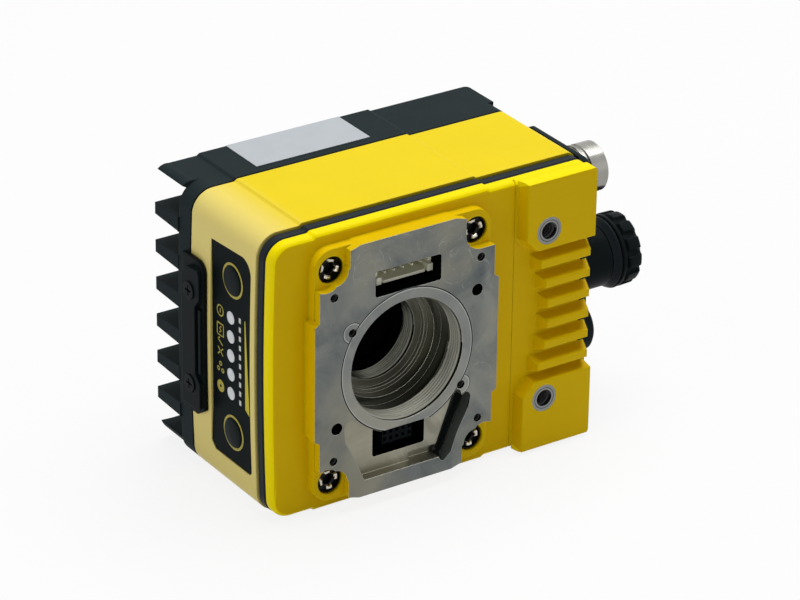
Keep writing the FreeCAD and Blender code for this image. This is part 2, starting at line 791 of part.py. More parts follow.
def rear_housing():
    """Black heat sink: base wall, six inner fins, two outer fins and four pillars."""
    body = new_body("rear_housing")
    extrude(body, "base_wall", "XZ_Plane", S.rear_front, S.fin_root - S.rear_front,
            [outline(0, S.corner_radius, S.right_corner_radius)])
    length = S.left_reach + S.side_bulge + S.right_reach
    reach = S.rear_back
    lowest = S.fin_offset - (S.fin_count - 1) / 2 * S.fin_pitch
    root, tip = S.fin_root_thickness / 2, S.fin_tip_thickness / 2
    start = -S.left_reach - S.side_bulge
    fin = extrude(body, "fin", "YZ_Plane", start, length, [[
        (S.fin_root - S.joint_gap, lowest - root), (reach - 0.5, lowest - tip), (reach, lowest - tip + 0.5),
        (reach, lowest + tip - 0.5), (reach - 0.5, lowest + tip), (S.fin_root - S.joint_gap, lowest + root)]])
    pattern(body, "inner_fins", [fin], "XY_Plane", S.fin_count, S.fin_pitch)
    edge = -S.left_reach + 0.9
    top_inner = S.half_height - S.top_plate_thickness
    bottom_inner = -S.half_height + S.bottom_plate_thickness
    top_end = [(edge + 3.4, top_inner), (edge, S.half_height - 0.9), (edge + 3.6, S.half_height, -4)]
    bottom_end = [(edge + 3.4, bottom_inner), (edge, bottom_inner + 0.2), (edge + 7, -S.half_height, 7.4)]
    for side, name, inner, end in ((1, "top", top_inner, top_end), (-1, "bottom", bottom_inner, bottom_end)):
        extrude(body, name + "_plate", "XZ_Plane", S.fin_root - S.joint_gap,
                reach - S.fin_root + S.joint_gap, [end + [
            (-S.crown_left, side * S.half_height), (-S.crown_left + S.crown_slope, side * COVER_TOP),
            (S.crown_right - S.crown_slope, side * COVER_TOP), (S.crown_right, side * S.half_height),
            (S.right_reach, side * S.half_height), (S.right_reach, inner)]])
    side_radius = (S.half_height * S.half_height + S.side_bulge * S.side_bulge) / (2 * S.side_bulge)
    extrude(body, "left_side_trim", "XZ_Plane", S.fin_root, S.rear_back - S.fin_root + 1, [[
        (-S.left_reach - 5, -S.half_height - 2), (-S.left_reach, -S.half_height - 2), (-S.left_reach,
                -S.half_height),
        (-S.left_reach, S.half_height, -side_radius), (-S.left_reach, S.half_height + 2),
        (-S.left_reach - 5, S.half_height + 2)]], cut=True)
    corner = S.fin_corner_round
    outer = -S.left_reach - S.side_bulge
    right = S.right_reach
    extrude(body, "fin_corners", "XY_Plane", -S.half_height - 2, 2 * S.half_height + 4, [
        [(outer - 1, reach - corner), (outer, reach - corner), (outer + corner, reach, -corner),
         (outer + corner, reach + 1), (outer - 1, reach + 1)],
        [(right + 1, reach + 1), (right - corner, reach + 1), (right - corner, reach),
         (right, reach - corner, -corner), (right + 1, reach - corner)]], cut=True)
    rear_inside(body)
    return keep("rear_housing", body)


def rear_inside(body):
    """Lip inside the cover, pillars for the captive screws and posts for the boards."""
    lip_inset = SKIRT_INSET
    extrude(body, "rear_lip", "XZ_Plane", S.lip_front, S.rear_front - S.lip_front + 1, [
        outline(lip_inset, S.corner_radius - lip_inset, 1),
        outline(lip_inset + S.skirt_thickness, S.corner_radius - lip_inset, 1),
    ])
    extrude(body, "card_slot_in_lip", "YZ_Plane", -S.left_reach - 2, 8, [rectangle(
        S.lip_front - 1, CARD_PASSAGE[0], S.rear_front, CARD_PASSAGE[1])], cut=True)
    pillars = [("circle", x * S.screw_spot_x, z * S.screw_spot_z, S.pillar_radius) for x, z in SIGNS]
    for index, pillar in enumerate(pillars):
        extrude(body, "screw_pillar_%d" % index, "XZ_Plane", S.pillar_front,
                S.rear_front - S.pillar_front + 1, [pillar])
    for index, (x, side) in enumerate(BOARD_POSTS):
        extrude(body, "board_post_%d" % index, "XZ_Plane", S.power_board_front + S.board_thickness,
                S.rear_front - S.power_board_front - S.board_thickness + 1,
                [("circle", x, side * POST_HEIGHT, 3)])
    threads = [("circle", x * S.screw_spot_x, z * S.screw_spot_z, S.screw_shank_radius + 0.02) for x,
               z in SIGNS]
    extrude(body, "pillar_threads", "XZ_Plane", S.pillar_front - 1, S.rear_front - S.pillar_front, threads,
            cut=True)


def rating_label():
    plate = box("rating_label", (-S.crown_left + 9.3, S.rear_front + 2.9, COVER_TOP + 0.02),
                (S.crown_right - 10.7, S.rear_back - 0.1, COVER_TOP + 0.22))
    return keep("rating_label", plate)


# Control panel

def overlay_shape(gap):
    """Outline of the control panel in Y and Z, grown by gap."""
    front, back = S.overlay_front - gap, S.overlay_back + gap
    top, bottom = S.overlay_top + gap, -S.overlay_bottom - gap
    return [
        (back, top - 0.9), (front + 4.6, top), (front, top - 4.4, 4.6), (front, bottom + 1.6),
        (front + 1.5, bottom, 1.6), (back - 1.4, bottom), (back + 0.6, bottom + 2),
        (back, bottom + 12),
    ]


def control_overlay():
    body = new_body("control_overlay")
    extrude(body, "overlay_sheet", "YZ_Plane", -S.overlay_face, S.overlay_thickness - 0.02,
            [overlay_shape(0)])
    holes = [("circle", S.button_depth, height, S.button_radius + S.running_gap) for height in BUTTON_HEIGHTS]
    holes += [("circle", S.light_depth, height, S.light_radius + 0.05) for height in LIGHT_HEIGHTS]
    extrude(body, "overlay_holes", "YZ_Plane", -S.overlay_face - 1, S.overlay_thickness + 2, holes, cut=True)
    return keep("control_overlay", body)


def push_button(name, height):
    """Round cap with a shallow dish, a flange behind the cover wall and a stem to its switch."""
    body = new_body(name)
    face = -S.overlay_face - 0.35
    flange = -S.left_reach + S.cover_wall + S.running_gap
    stem_end = -S.ui_board_outer - 0.5 - S.button_travel - 0.1
    turn(body, name + "_turned", "X", (S.button_depth, height), [
        (face + 0.25, 0), (face, S.button_radius - 1.1), (face, S.button_radius - 0.5),
        (face + 0.5, S.button_radius), (flange, S.button_radius), (flange, S.button_flange_radius),
        (flange + 0.35, S.button_flange_radius), (flange + 0.35, 1.5),
        (stem_end, 1.5), (stem_end, 0)])
    return keep(name, body)


def status_lights():
    pins = [rod("light_%d" % index, "X", -S.overlay_face - 0.05, S.overlay_face - S.ui_board_outer - 0.95,
                (S.light_depth, height), S.light_radius) for index, height in enumerate(LIGHT_HEIGHTS)]
    return keep("status_lights", group("status_lights", pins))


def ui_board():
    board = box("ui_board_plate", (-S.ui_board_outer, S.skirt_back + 1.2, S.panel_centre - 31),
                (-S.ui_board_outer + S.ui_board_thickness, S.overlay_back + 0.5, S.panel_centre + 31))
    parts = [board]
    for index, height in enumerate(BUTTON_HEIGHTS):
        parts.append(box("switch_%d" % index, (-S.ui_board_outer - 0.5, S.button_depth - 3, height - 3),
                         (-S.ui_board_outer, S.button_depth + 3, height + 3)))
    for index, height in enumerate(LIGHT_HEIGHTS):
        parts.append(box("lamp_%d" % index, (-S.ui_board_outer - 0.9, S.light_depth - 1.2, height - 1.2),
                         (-S.ui_board_outer, S.light_depth + 1.2, height + 1.2)))
    return keep("ui_board", fuse("ui_board", parts))


# Memory card door

def card_door():
    body = new_body("card_door")
    low, high = S.door_centre_z - S.door_half_height, S.door_centre_z + S.door_half_height
    seat = -S.left_reach - S.side_bulge - 0.05
    extrude(body, "door_flange", "YZ_Plane", -S.door_flange_face, S.door_flange_face + seat, [[
        (S.door_back, low), (S.door_back, high), (S.door_front + 3.2, high),
        (S.door_front, high - 3.2, 3.6), (S.door_front, low + 2.3), (S.door_front + 3.4, low)]])
    notch = S.door_half_height / 2 - 2
    edge = S.door_front + 0.2
    rear = S.door_back - 1.4
    middle = S.door_centre_z
    extrude(body, "door_face", "YZ_Plane", -S.door_face, S.door_face - S.door_flange_face + S.joint_gap, [[
        (rear, low + 2.2), (rear, high - 5.2), (rear - 2.6, high - 2.4), (edge + 0.7, high - 1.9),
        (edge, high - 3.6), (edge, middle + notch + 3.2), (edge + 2.3, middle + notch + 0.6),
        (edge + 2.3, middle - notch - 0.6), (edge, middle - notch - 3.2), (edge, low + 3.4), (edge + 1.2,
                low + 2.2)]])
    extrude(body, "pry_ridge", "YZ_Plane", -S.door_face + 0.4,
            S.door_face - 0.4 - S.door_flange_face + S.joint_gap, [
        rectangle(edge + 0.1, middle - notch, edge + 1.2, middle + notch)])
    extrude(body, "door_plug", "YZ_Plane", seat - 0.02, S.cover_wall + 0.3, [rectangle(
        S.door_notch_front + 1.2, middle - S.door_notch_half_height + 1.2,
        S.rear_front - 0.3, middle + S.door_notch_half_height - 1.2)])
    extrude(body, "door_screw_holes", "YZ_Plane", -S.door_face - 1, 8,
            [("circle", S.door_screw_depth, height, 1.35) for height in DOOR_SCREW_HEIGHTS], cut=True)
    extrude(body, "door_screw_seats", "YZ_Plane", -S.door_face - 1, 1.9,
            [("circle", S.door_screw_depth, height,
              S.door_screw_radius + 0.1) for height in DOOR_SCREW_HEIGHTS], cut=True)
    return keep("card_door", body)


def card_door_gasket():
    body = new_body("card_door_gasket")
    middle = S.door_centre_z
    front, half = S.door_notch_front + 0.1, S.door_notch_half_height - 0.1
    extrude(body, "gasket_ring", "YZ_Plane", -S.left_reach - S.side_bulge + 0.9, 1.2, [
        rectangle(front, middle - half, S.rear_front - 0.05, middle + half),
        rectangle(front + 1.08, middle - half + 1.08, S.rear_front - 0.28, middle + half - 1.08)])
    return keep("card_door_gasket", body)


def card_door_screws():
    screws = []
    for index, height in enumerate(DOOR_SCREW_HEIGHTS):
        at = (S.door_screw_depth, height)
        head = rod("door_head_%d" % index, "X", -S.door_face - 0.35, 1.2, at, S.door_screw_radius)
        shank = rod("door_shank_%d" % index, "X", -S.door_face, 8.5, at, 1.25)
        slots = []
        for name, long_y, long_z in (("across", 1.5, 0.3), ("upright", 0.3, 1.5)):
            slots.append(box("door_slot_%s_%d" % (name, index),
                             (-S.door_face - 1, S.door_screw_depth - long_y, height - long_z),
                             (-S.door_face + 0.3, S.door_screw_depth + long_y, height + long_z)))
        whole = fuse("door_screw_solid_%d" % index, [head, shank])
        screws.append(subtract("door_screw_%d" % index, whole, fuse("door_cross_%d" % index, slots)))
    return keep("card_door_screws", group("card_door_screws", screws))


def card_socket():
    """Metal card cage on the front of the power board, with a block for each door screw."""
    back = S.power_board_front
    middle = S.door_centre_z
    cage = box("card_cage", (-S.left_reach + 4.2, back - 2.2, middle - 7.2), (-S.left_reach + 19, back,
            middle + 7.2))
    hollow = box("card_cage_hollow", (-S.left_reach + 4, back - 1.6, middle - 5.7),
                 (-S.left_reach + 18.4, back - 0.6, middle + 5.7))
    return keep("card_socket", subtract("card_socket", cage, hollow))


def screw_blocks():
    blocks = []
    for index, height in enumerate(DOOR_SCREW_HEIGHTS):
        outside = box("screw_block_solid_%d" % index,
                      (-S.left_reach + 3.4, S.door_screw_depth - 2.6, height - 3),
                      (-S.left_reach + 8.2, S.power_board_front, height + 3))
        thread = rod("screw_block_thread_%d" % index, "X", -S.left_reach, 12,
                     (S.door_screw_depth, height), 1.3)
        blocks.append(subtract("screw_block_%d" % index, outside, thread))
    return keep("card_door_nuts", group("card_door_nuts", blocks))


def memory_card():
    middle = S.door_centre_z
    back = S.power_board_front
    return keep("memory_card", box("memory_card", (-S.left_reach + 3.2, back - 1.5, middle - 5.5),
                                   (-S.left_reach + 18.2, back - 0.7, middle + 5.5)))


# Connector side

def connector_panel():
    body = new_body("connector_panel")
    half = S.panel_half_height
    extrude(body, "panel_plate", "YZ_Plane", S.right_reach + 0.35, S.panel_face - S.right_reach - 0.35, [
        rounded(S.panel_front, -half, S.panel_back, half, 3)])
    extrude(body, "panel_plateau", "YZ_Plane", S.panel_face - S.joint_gap, S.panel_plateau - S.panel_face, [
        rounded(S.panel_front + 0.6, -half + 1.5, S.panel_back - 2.5, half - 1.5, 3)])
    holes = [("circle", S.connector_depth, S.io_height, S.io_shell_radius - 0.9),
             ("circle", S.connector_depth, S.network_height, S.sleeve_radius - 1.2),
             ("circle", S.connector_depth, -S.light_port_height, S.light_shell_radius - 0.9)]
    extrude(body, "panel_holes", "YZ_Plane", S.right_reach - 1, S.panel_plateau - S.right_reach + 2, holes,
            cut=True)
    return keep("connector_panel", body)


def panel_gasket():
    body = new_body("panel_gasket")
    half = S.panel_half_height
    extrude(body, "panel_gasket_ring", "YZ_Plane", S.right_reach, 0.35, [
        rounded(S.cover_front + 0.4, -half + 1.5, S.panel_back - 0.2, half - 1.5, 3),
        connector_window()])
    return keep("panel_gasket", body)


def io_connector_shell():
    """Bare metal shell with a knurled collar, thread grooves and a plain coupling end."""
    body = new_body("io_connector_shell")
    seat = S.panel_plateau - S.joint_gap
    outer, root = S.io_shell_radius, S.io_shell_radius - 0.55
    profile = [(S.nut_back, S.io_bore_radius), (S.nut_back, outer - 0.95), (seat, outer - 0.95), (seat,
            outer + 0.6),
               (seat + 1.6, outer + 0.6), (seat + 2.0, root)]
    for step in range(3):
        place = seat + 2.6 + 1.25 * step
        profile += [(place, root), (place + 0.3, outer), (place + 0.75, outer), (place + 1.05, root)]
    profile += [(seat + 7.0, root), (seat + 7.4, outer), (S.io_shell_end - 0.5, outer),
                (S.io_shell_end, outer - 0.5), (S.io_shell_end, S.io_bore_radius + 0.4),
                (S.io_shell_end - 0.6, S.io_bore_radius)]
    turn(body, "io_shell_turned", "X", (S.connector_depth, S.io_height), profile)
    return keep("io_connector_shell", body)


def network_connector_shell():
    """Plain black sleeve that the protective cap screws into."""
    body = new_body("network_connector_shell")
    seat = S.panel_plateau - S.joint_gap
    outer = S.sleeve_radius
    turn(body, "sleeve_turned", "X", (S.connector_depth, S.network_height), [
        (S.nut_back, S.sleeve_bore_radius), (S.nut_back, outer - 1.25), (seat, outer - 1.25), (seat,
                outer + 0.5),
        (seat + 1.4, outer + 0.5), (seat + 1.8, outer), (S.sleeve_end - 0.4, outer),
        (S.sleeve_end, outer - 0.4), (S.sleeve_end, S.sleeve_bore_radius)])
    return keep("network_connector_shell", body)


def light_connector_shell():
    body = new_body("light_connector_shell")
    seat = S.panel_plateau - S.joint_gap
    outer = S.light_shell_radius
    turn(body, "light_shell_turned", "X", (S.connector_depth, -S.light_port_height), [
        (S.nut_back, S.light_bore_radius), (S.nut_back, outer - 0.95), (seat, outer - 0.95), (seat,
                outer + 0.4),
        (seat + 1.2, outer + 0.4), (seat + 1.6, outer), (S.light_shell_end - 0.8, outer),
        (S.light_shell_end, outer - 0.8), (S.light_shell_end, S.light_bore_radius)])
    return keep("light_connector_shell", body)


def connector_insert(name, height, bore, front, pins, pin_ring, pin_end):
    """Insulating disc in a connector shell, with its contact pins."""
    at = (S.connector_depth, height)
    disc = rod(name + "_disc", "X", S.nut_back, front - S.nut_back, at, bore - 0.03)
    parts = [disc]
    for index in range(pins):
        angle = 2 * math.pi * index / pins
        spot = (at[0] + pin_ring * math.cos(angle), at[1] + pin_ring * math.sin(angle))
        parts.append(rod("%s_pin_%d" % (name, index), "X", front - 1, pin_end - front + 1, spot, 0.5))
    return keep(name, fuse(name, parts))


def connector_nuts():
    """Ring nuts that clamp the three shells from inside the panel."""
    rings = []
    for name, height, radius in (("io", S.io_height, S.io_shell_radius - 0.95),
                                 ("network", S.network_height, S.sleeve_radius - 1.25),
                                 ("light", -S.light_port_height, S.light_shell_radius - 0.95)):
        at = (S.connector_depth, height)
        front = S.right_reach - 2.0
        outside = rod(name + "_nut_outside", "X", front, S.right_reach + 0.35 - front, at, radius + 1.9)
        hole = rod(name + "_nut_hole", "X", front - 1, 6, at, radius + 0.02)
        rings.append(subtract(name + "_nut", outside, hole))
    return keep("connector_nuts", group("connector_nuts", rings))


def connector_board():
    right = S.nut_back - S.joint_gap
    board = box("connector_board", (right - S.board_thickness, S.skirt_back + 1.5, -34),
                (right, S.panel_back, 37))
    return keep("connector_board", board)


def protective_cap():
    """Knurled screw cap: head with raised grips, and a plug that screws into the sleeve."""
    body = new_body("protective_cap")
    at = (S.connector_depth, S.network_height)
    head, low = S.cap_head_radius, S.cap_head_radius - 1.0
    turn(body, "cap_turned", "X", at, [
        (S.cap_plug_start, 0), (S.cap_plug_start, S.cap_plug_radius - 0.5), (S.cap_plug_start + 0.5,
                S.cap_plug_radius),
        (S.cap_head_front - 1.6, S.cap_plug_radius), (S.cap_head_front - 1.6, S.cap_plug_radius + 0.6),
        (S.cap_head_front, S.cap_plug_radius + 0.6), (S.cap_head_front, head + 0.4), (S.cap_head_front + 0.7,
                head + 0.4),
        (S.cap_head_front + 1.5, head - 0.35), (S.cap_head_end - 0.8, head - 0.55), (S.cap_head_end,
                head - 1.3),
        (S.cap_head_end, low - 1.6), (S.cap_head_end - 0.8, low - 2.0), (S.cap_head_end - 0.8, 0)])
    grip_sketch = new_sketch(body, "grip_sketch", "YZ_Plane", (at[0], at[1], S.cap_head_front + 1.4))
    draw(grip_sketch, [[(-0.95, head - 1.2), (0.95, head - 1.2), (0.7, head + 0.3), (-0.7, head + 0.3)]])
    rib = body.newObject("PartDesign::Pad", "cap_rib")
    rib.Profile = grip_sketch
    bind(rib, "Length", S.cap_head_end - S.cap_head_front - 2.1)
    around = body.newObject("PartDesign::PolarPattern", "cap_ribs")
    around.Originals = [rib]
    around.Axis = (grip_sketch, ["N_Axis"])
    around.Angle = 360
    bind(around, "Occurrences", S.cap_rib_count)
    body.Tip = around
    return keep("protective_cap", body)


def cap_gasket():
    """Flared rubber ring between the sleeve's end and the head of the cap."""
    body = new_body("cap_gasket")
    inner = S.cap_plug_radius + 0.6 + 0.25
    turn(body, "gasket_turned", "X", (S.connector_depth, S.network_height), [
        (S.sleeve_end + 0.3, inner), (S.sleeve_end + 0.3, S.sleeve_radius - 0.5), (S.sleeve_end + 0.8,
                S.sleeve_radius - 0.2),
        (S.cap_head_front - 0.3, S.cap_head_radius), (S.cap_head_front - 0.3, inner)])
    return keep("cap_gasket", body)


# Boards and what they carry

def interface_board():
    """Ring-shaped board round the bore barrel that carries both headers."""
    body = new_body("interface_board")
    half_width, half_height = 26, S.drive_window_high + 0.2
    extrude(body, "interface_plate", "XZ_Plane", S.interface_board_front, S.board_thickness, [
        rectangle(-half_width, -half_height, half_width, half_height),
        ("circle", 0, 0, S.barrel_radius - 1.6)])
    extrude(body, "barrel_clearance", "XZ_Plane", S.interface_board_front - 1, S.board_thickness + 2,
            [("circle", 0, 0, S.barrel_radius + S.running_gap)], cut=True)
    posts = [("circle", x * SENSOR_POST, z * SENSOR_POST, 2.9) for x, z in SIGNS]
    for index, post in enumerate(posts):
        extrude(body, "post_clearance_%d" % index, "XZ_Plane", S.interface_board_front - 1,
                S.board_thickness + 2,
                [post], cut=True)
    return keep("interface_board", body)


DRIVE_HEADER_FRONT = S.boss_depth + 2


def lens_drive_header():
    """White shroud of the five-pin header in the upper window."""
    front, back = DRIVE_HEADER_FRONT, S.interface_board_front
    left, right = -S.drive_window_half_width + 2.5, S.drive_window_half_width - 0.4
    low, high = S.drive_window_low + 1.5, S.drive_window_high - 0.5
    outside = box("header_outside", (left, front, low), (right, back, high))
    hollow = box("header_hollow", (left + 0.9, front - 1, low + 0.8), (right - 0.9, back - 1.6, high - 0.8))
    cuts = [hollow]
    for index, place in enumerate((-4.2, 5.2)):
        cuts.append(box("header_slot_%d" % index, (place, front - 1, low - 1), (place + 1.2, front + 4.5,
                low + 1.2)))
    return keep("lens_drive_header", subtract("lens_drive_header", outside, fuse("header_cuts", cuts)))


def lens_drive_pins():
    pins = []
    middle = (S.drive_window_low + S.drive_window_high + 1) / 2
    for index in range(5):
        place = 1.2 + 2.9 * (index - 2)
        pins.append(box("drive_pin_%d" % index, (place - 0.35, DRIVE_HEADER_FRONT + 1, middle - 0.35),
                        (place + 0.35, S.interface_board_front - 1.6, middle + 0.35)))
    return keep("lens_drive_pins", group("lens_drive_pins", pins))


def expansion_header():
    """Black socket strip with two rows of five square holes."""
    front, back = S.expansion_socket_front, S.interface_board_front
    left, low, pitch = -S.expansion_socket_left, -S.expansion_socket_low, S.contact_pitch
    outside = box("socket_outside", (left, front, low), (left + 5 * pitch - 0.4, back, low + 2 * pitch + 1.0))
    holes = []
    for row in range(2):
        for column in range(5):
            x, z = left + 0.3 + pitch * column, low + 0.9 + pitch * row
            holes.append(box("socket_hole_%d_%d" % (row, column), (x, front - 1, z), (x + 1, front + 3,
                    z + 1)))
    return keep("expansion_header", subtract("expansion_header", outside, fuse("socket_holes", holes)))


def sensor_stack():
    window = rod("sensor_window", "Y", S.barrel_back, 1.1, (0, 0), S.aperture_radius + 1.5)
    keep("sensor_window", window)
    front = S.sensor_board_front
    chip = box("image_sensor", (-7.5, S.barrel_back + 1.1, -6), (7.5, front, 6))
    keep("image_sensor", chip)
    board = box("sensor_plate", (-22.5, front, -22.5), (22.5, front + S.board_thickness, 22.5))
    holes = [rod("sensor_hole_%d" % index, "Y", front - 1, S.board_thickness + 2, (x * SENSOR_POST,
            z * SENSOR_POST),
                 1.1) for index, (x, z) in enumerate(SIGNS)]
    keep("sensor_board", subtract("sensor_board", board, fuse("sensor_holes", holes)))
    screws = []
    for index, (x, z) in enumerate(SIGNS):
        at = (x * SENSOR_POST, z * SENSOR_POST)
        head = rod("sensor_screw_head_%d" % index, "Y", front + S.board_thickness, 1.4, at, 2)
        shank = rod("sensor_screw_shank_%d" % index, "Y", front + 0.05, S.board_thickness, at, 1.05)
        screws.append(fuse("sensor_screw_%d" % index, [head, shank]))
    keep("sensor_board_screws", group("sensor_board_screws", screws))


def main_boards():
    """Processor and power boards on posts of the rear housing, with spacers between them."""
    for name, front in (("processor_board", S.processor_board_front), ("power_board", S.power_board_front)):
        plate = box(name + "_plate", (-S.board_left, front, -S.board_half_height),
                    (S.board_right, front + S.board_thickness, S.board_half_height))
        parts = [plate]
        if name == "processor_board":
            parts.append(box("processor_chip", (S.board_right - 53, front - 2.2, -12), (S.board_right - 29,
                    front, 12)))
            parts.append(box("memory_chip", (S.board_right - 23, front - 1.1, -10), (S.board_right - 12,
                    front, 4)))
        else:
            parts.append(box("regulator_block", (S.board_right - 47, front - 3.6, 6), (S.board_right - 35,
                    front, 18)))
            parts.append(box("capacitor_block", (S.board_right - 25, front - 4.4, -18), (S.board_right - 15,
                    front, -6)))
        drawn = fuse(name + "_parts", parts)
        holes = [rod("%s_hole_%d" % (name, index), "Y", front - 1, S.board_thickness + 2, (x,
                side * POST_HEIGHT),
                     1.4) for index, (x, side) in enumerate(BOARD_POSTS)]
        keep(name, subtract(name, drawn, fuse(name + "_holes", holes)))
    spacers, screws = [], []
    gap = S.power_board_front - S.processor_board_front - S.board_thickness
    for index, (x, side) in enumerate(BOARD_POSTS):
        at = (x, side * POST_HEIGHT)
        tube = rod("spacer_outside_%d" % index, "Y", S.processor_board_front + S.board_thickness, gap, at,
                   2.6)
        hole = rod("spacer_hole_%d" % index, "Y", S.processor_board_front, gap + 3, at, 1.4)
        spacers.append(subtract("spacer_%d" % index, tube, hole))
        head = rod("board_screw_head_%d" % index, "Y", S.processor_board_front - 1.6, 1.6, at, 2.5)
        shank = rod("board_screw_shank_%d" % index, "Y", S.processor_board_front - 1,
                    S.power_board_front + S.board_thickness - S.processor_board_front + 1, at, 1.3)
        screws.append(fuse("board_screw_%d" % index, [head, shank]))
    keep("board_spacers", group("board_spacers", spacers))
    keep("board_screws", group("board_screws", screws))
    pad = box("thermal_pad", (S.board_right - 51, S.power_board_front + S.board_thickness, -14),
              (S.board_right - 23, S.rear_front, 14))
    keep("thermal_pad", pad)


def build():
    front_housing()
    mounting_inserts()
    captive_screws()
    seal_ring("front_seal", S.casting_back + S.joint_gap, S.cover_front - S.joint_gap, 0.45, 0.7)
    wrap_cover()
    seal_ring("rear_seal", S.cover_back, S.rear_front, 0.8, passage=CARD_PASSAGE)
    rear_housing()
    rating_label()
    control_overlay()
    push_button("trigger_button", BUTTON_HEIGHTS[0])
    push_button("tune_button", BUTTON_HEIGHTS[1])
    status_lights()
    ui_board()
    card_door()
    card_door_gasket()
    card_door_screws()
    card_socket()
    screw_blocks()
    memory_card()
    connector_panel()
    panel_gasket()
    io_connector_shell()
    connector_insert("io_connector_insert", S.io_height, S.io_bore_radius, S.panel_plateau + 2, 8, 2.9,
                     S.panel_plateau + 6)
    network_connector_shell()
    connector_insert("network_connector_insert", S.network_height, S.sleeve_bore_radius, S.panel_plateau + 1,
                     8, 3.2,
                     S.panel_plateau + 2.4)
    light_connector_shell()
    connector_insert("light_connector_insert", -S.light_port_height, S.light_bore_radius,
                     S.panel_plateau + 2, 5, 2.9,
                     S.panel_plateau + 4.6)
    connector_nuts()
    connector_board()
    protective_cap()
    cap_gasket()
    interface_board()
    lens_drive_header()
    lens_drive_pins()
    expansion_header()
    sensor_stack()
    main_boards()


def check_and_export():
    """Stop on any failed object or bad shape, then write one file for each sub-part."""
    doc.recompute()
    for item in doc.Objects:
        if "Invalid" in item.State or "Error" in item.State:
            raise RuntimeError("%s failed: %s" % (item.Label, item.State))
    os.makedirs("parts", exist_ok=True)
    for node in nodes:
        shape = node.Shape
        if shape.isNull() or not shape.isValid():
            raise RuntimeError("%s has no valid shape" % node.Label)
        shape.exportStep("parts/%s.step" % node.Label)
        print("%s: %d solid(s), %.1f mm3" % (node.Label, len(shape.Solids), shape.Volume))


build()
check_and_export()
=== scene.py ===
import json
import math

import bmesh
import bpy
from mathutils import Matrix, Vector


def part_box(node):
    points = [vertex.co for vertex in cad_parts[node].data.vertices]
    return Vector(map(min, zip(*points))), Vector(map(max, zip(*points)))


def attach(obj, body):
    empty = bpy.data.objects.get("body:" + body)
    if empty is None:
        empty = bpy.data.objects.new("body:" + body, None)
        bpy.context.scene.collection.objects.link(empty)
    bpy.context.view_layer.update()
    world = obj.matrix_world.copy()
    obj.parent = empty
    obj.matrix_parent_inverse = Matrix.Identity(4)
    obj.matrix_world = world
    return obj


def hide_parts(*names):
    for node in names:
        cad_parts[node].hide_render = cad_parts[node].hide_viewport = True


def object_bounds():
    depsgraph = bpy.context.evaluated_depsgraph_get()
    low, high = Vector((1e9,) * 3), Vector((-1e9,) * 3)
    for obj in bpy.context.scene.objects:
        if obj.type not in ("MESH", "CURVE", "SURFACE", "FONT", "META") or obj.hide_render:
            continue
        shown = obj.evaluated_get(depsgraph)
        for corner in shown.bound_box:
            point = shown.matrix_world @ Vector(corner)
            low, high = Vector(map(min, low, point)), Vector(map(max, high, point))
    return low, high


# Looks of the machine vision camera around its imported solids.
# Metres, X towards the connectors, Y to the finned back, Z up.

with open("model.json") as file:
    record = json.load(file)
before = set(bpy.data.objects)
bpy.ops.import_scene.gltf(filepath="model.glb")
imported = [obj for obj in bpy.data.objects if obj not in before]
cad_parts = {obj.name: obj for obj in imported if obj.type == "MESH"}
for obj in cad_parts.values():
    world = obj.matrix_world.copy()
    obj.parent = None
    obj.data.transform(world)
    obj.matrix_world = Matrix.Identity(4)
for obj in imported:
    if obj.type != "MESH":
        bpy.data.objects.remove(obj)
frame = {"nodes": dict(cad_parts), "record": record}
cad_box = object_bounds()
NODES = frame["nodes"]
MOUNTS = {mount["name"]: mount for mount in frame["record"]["mounts"]}
MM = 0.001


def ear_spots():
    """Axes of the two tapped ears beside the bore."""
    reach = MOUNTS["bore_ears"]["dims"]["pcd_mm"] / 2 * MM
    return [(side * math.cos(EAR_ANGLE) * reach, -side * math.sin(EAR_ANGLE) * reach) for side in (1, -1)]


def tap_spots():
    dims = MOUNTS["face_taps"]["dims"]
    across, up = dims["spacing_x_mm"] / 2 * MM, dims["spacing_y_mm"] / 2 * MM
    return [(side * across, level * up) for side in (1, -1) for level in (1, -1)]


def dowel_spots():
    reach = MOUNTS["dowel_holes"]["dims"]["pcd_mm"] / 2 * MM
    return [(side * math.cos(DOWEL_ANGLE) * reach, side * math.sin(DOWEL_ANGLE) * reach) for side in (1, -1)]


EAR_ANGLE = math.atan2(12.6, 17.6)
DOWEL_ANGLE = math.atan2(14.9, 22.4)
EAR_SPOTS = ear_spots()

# Camera of the photograph
VIEW_AZIMUTH = 33.9219
VIEW_ELEVATION = 26.6880
VIEW_ROLL = 0.7997
FOCAL_PIXELS = 4069.23
CAMERA_DISTANCE = 60.5973 * 18 * MM
PHOTO_WIDTH = 800
PHOTO_HEIGHT = 600
ORIGIN_PIXEL = (407.4234, 359.2021)
SENSOR_WIDTH_MM = 36.0


# Shader building

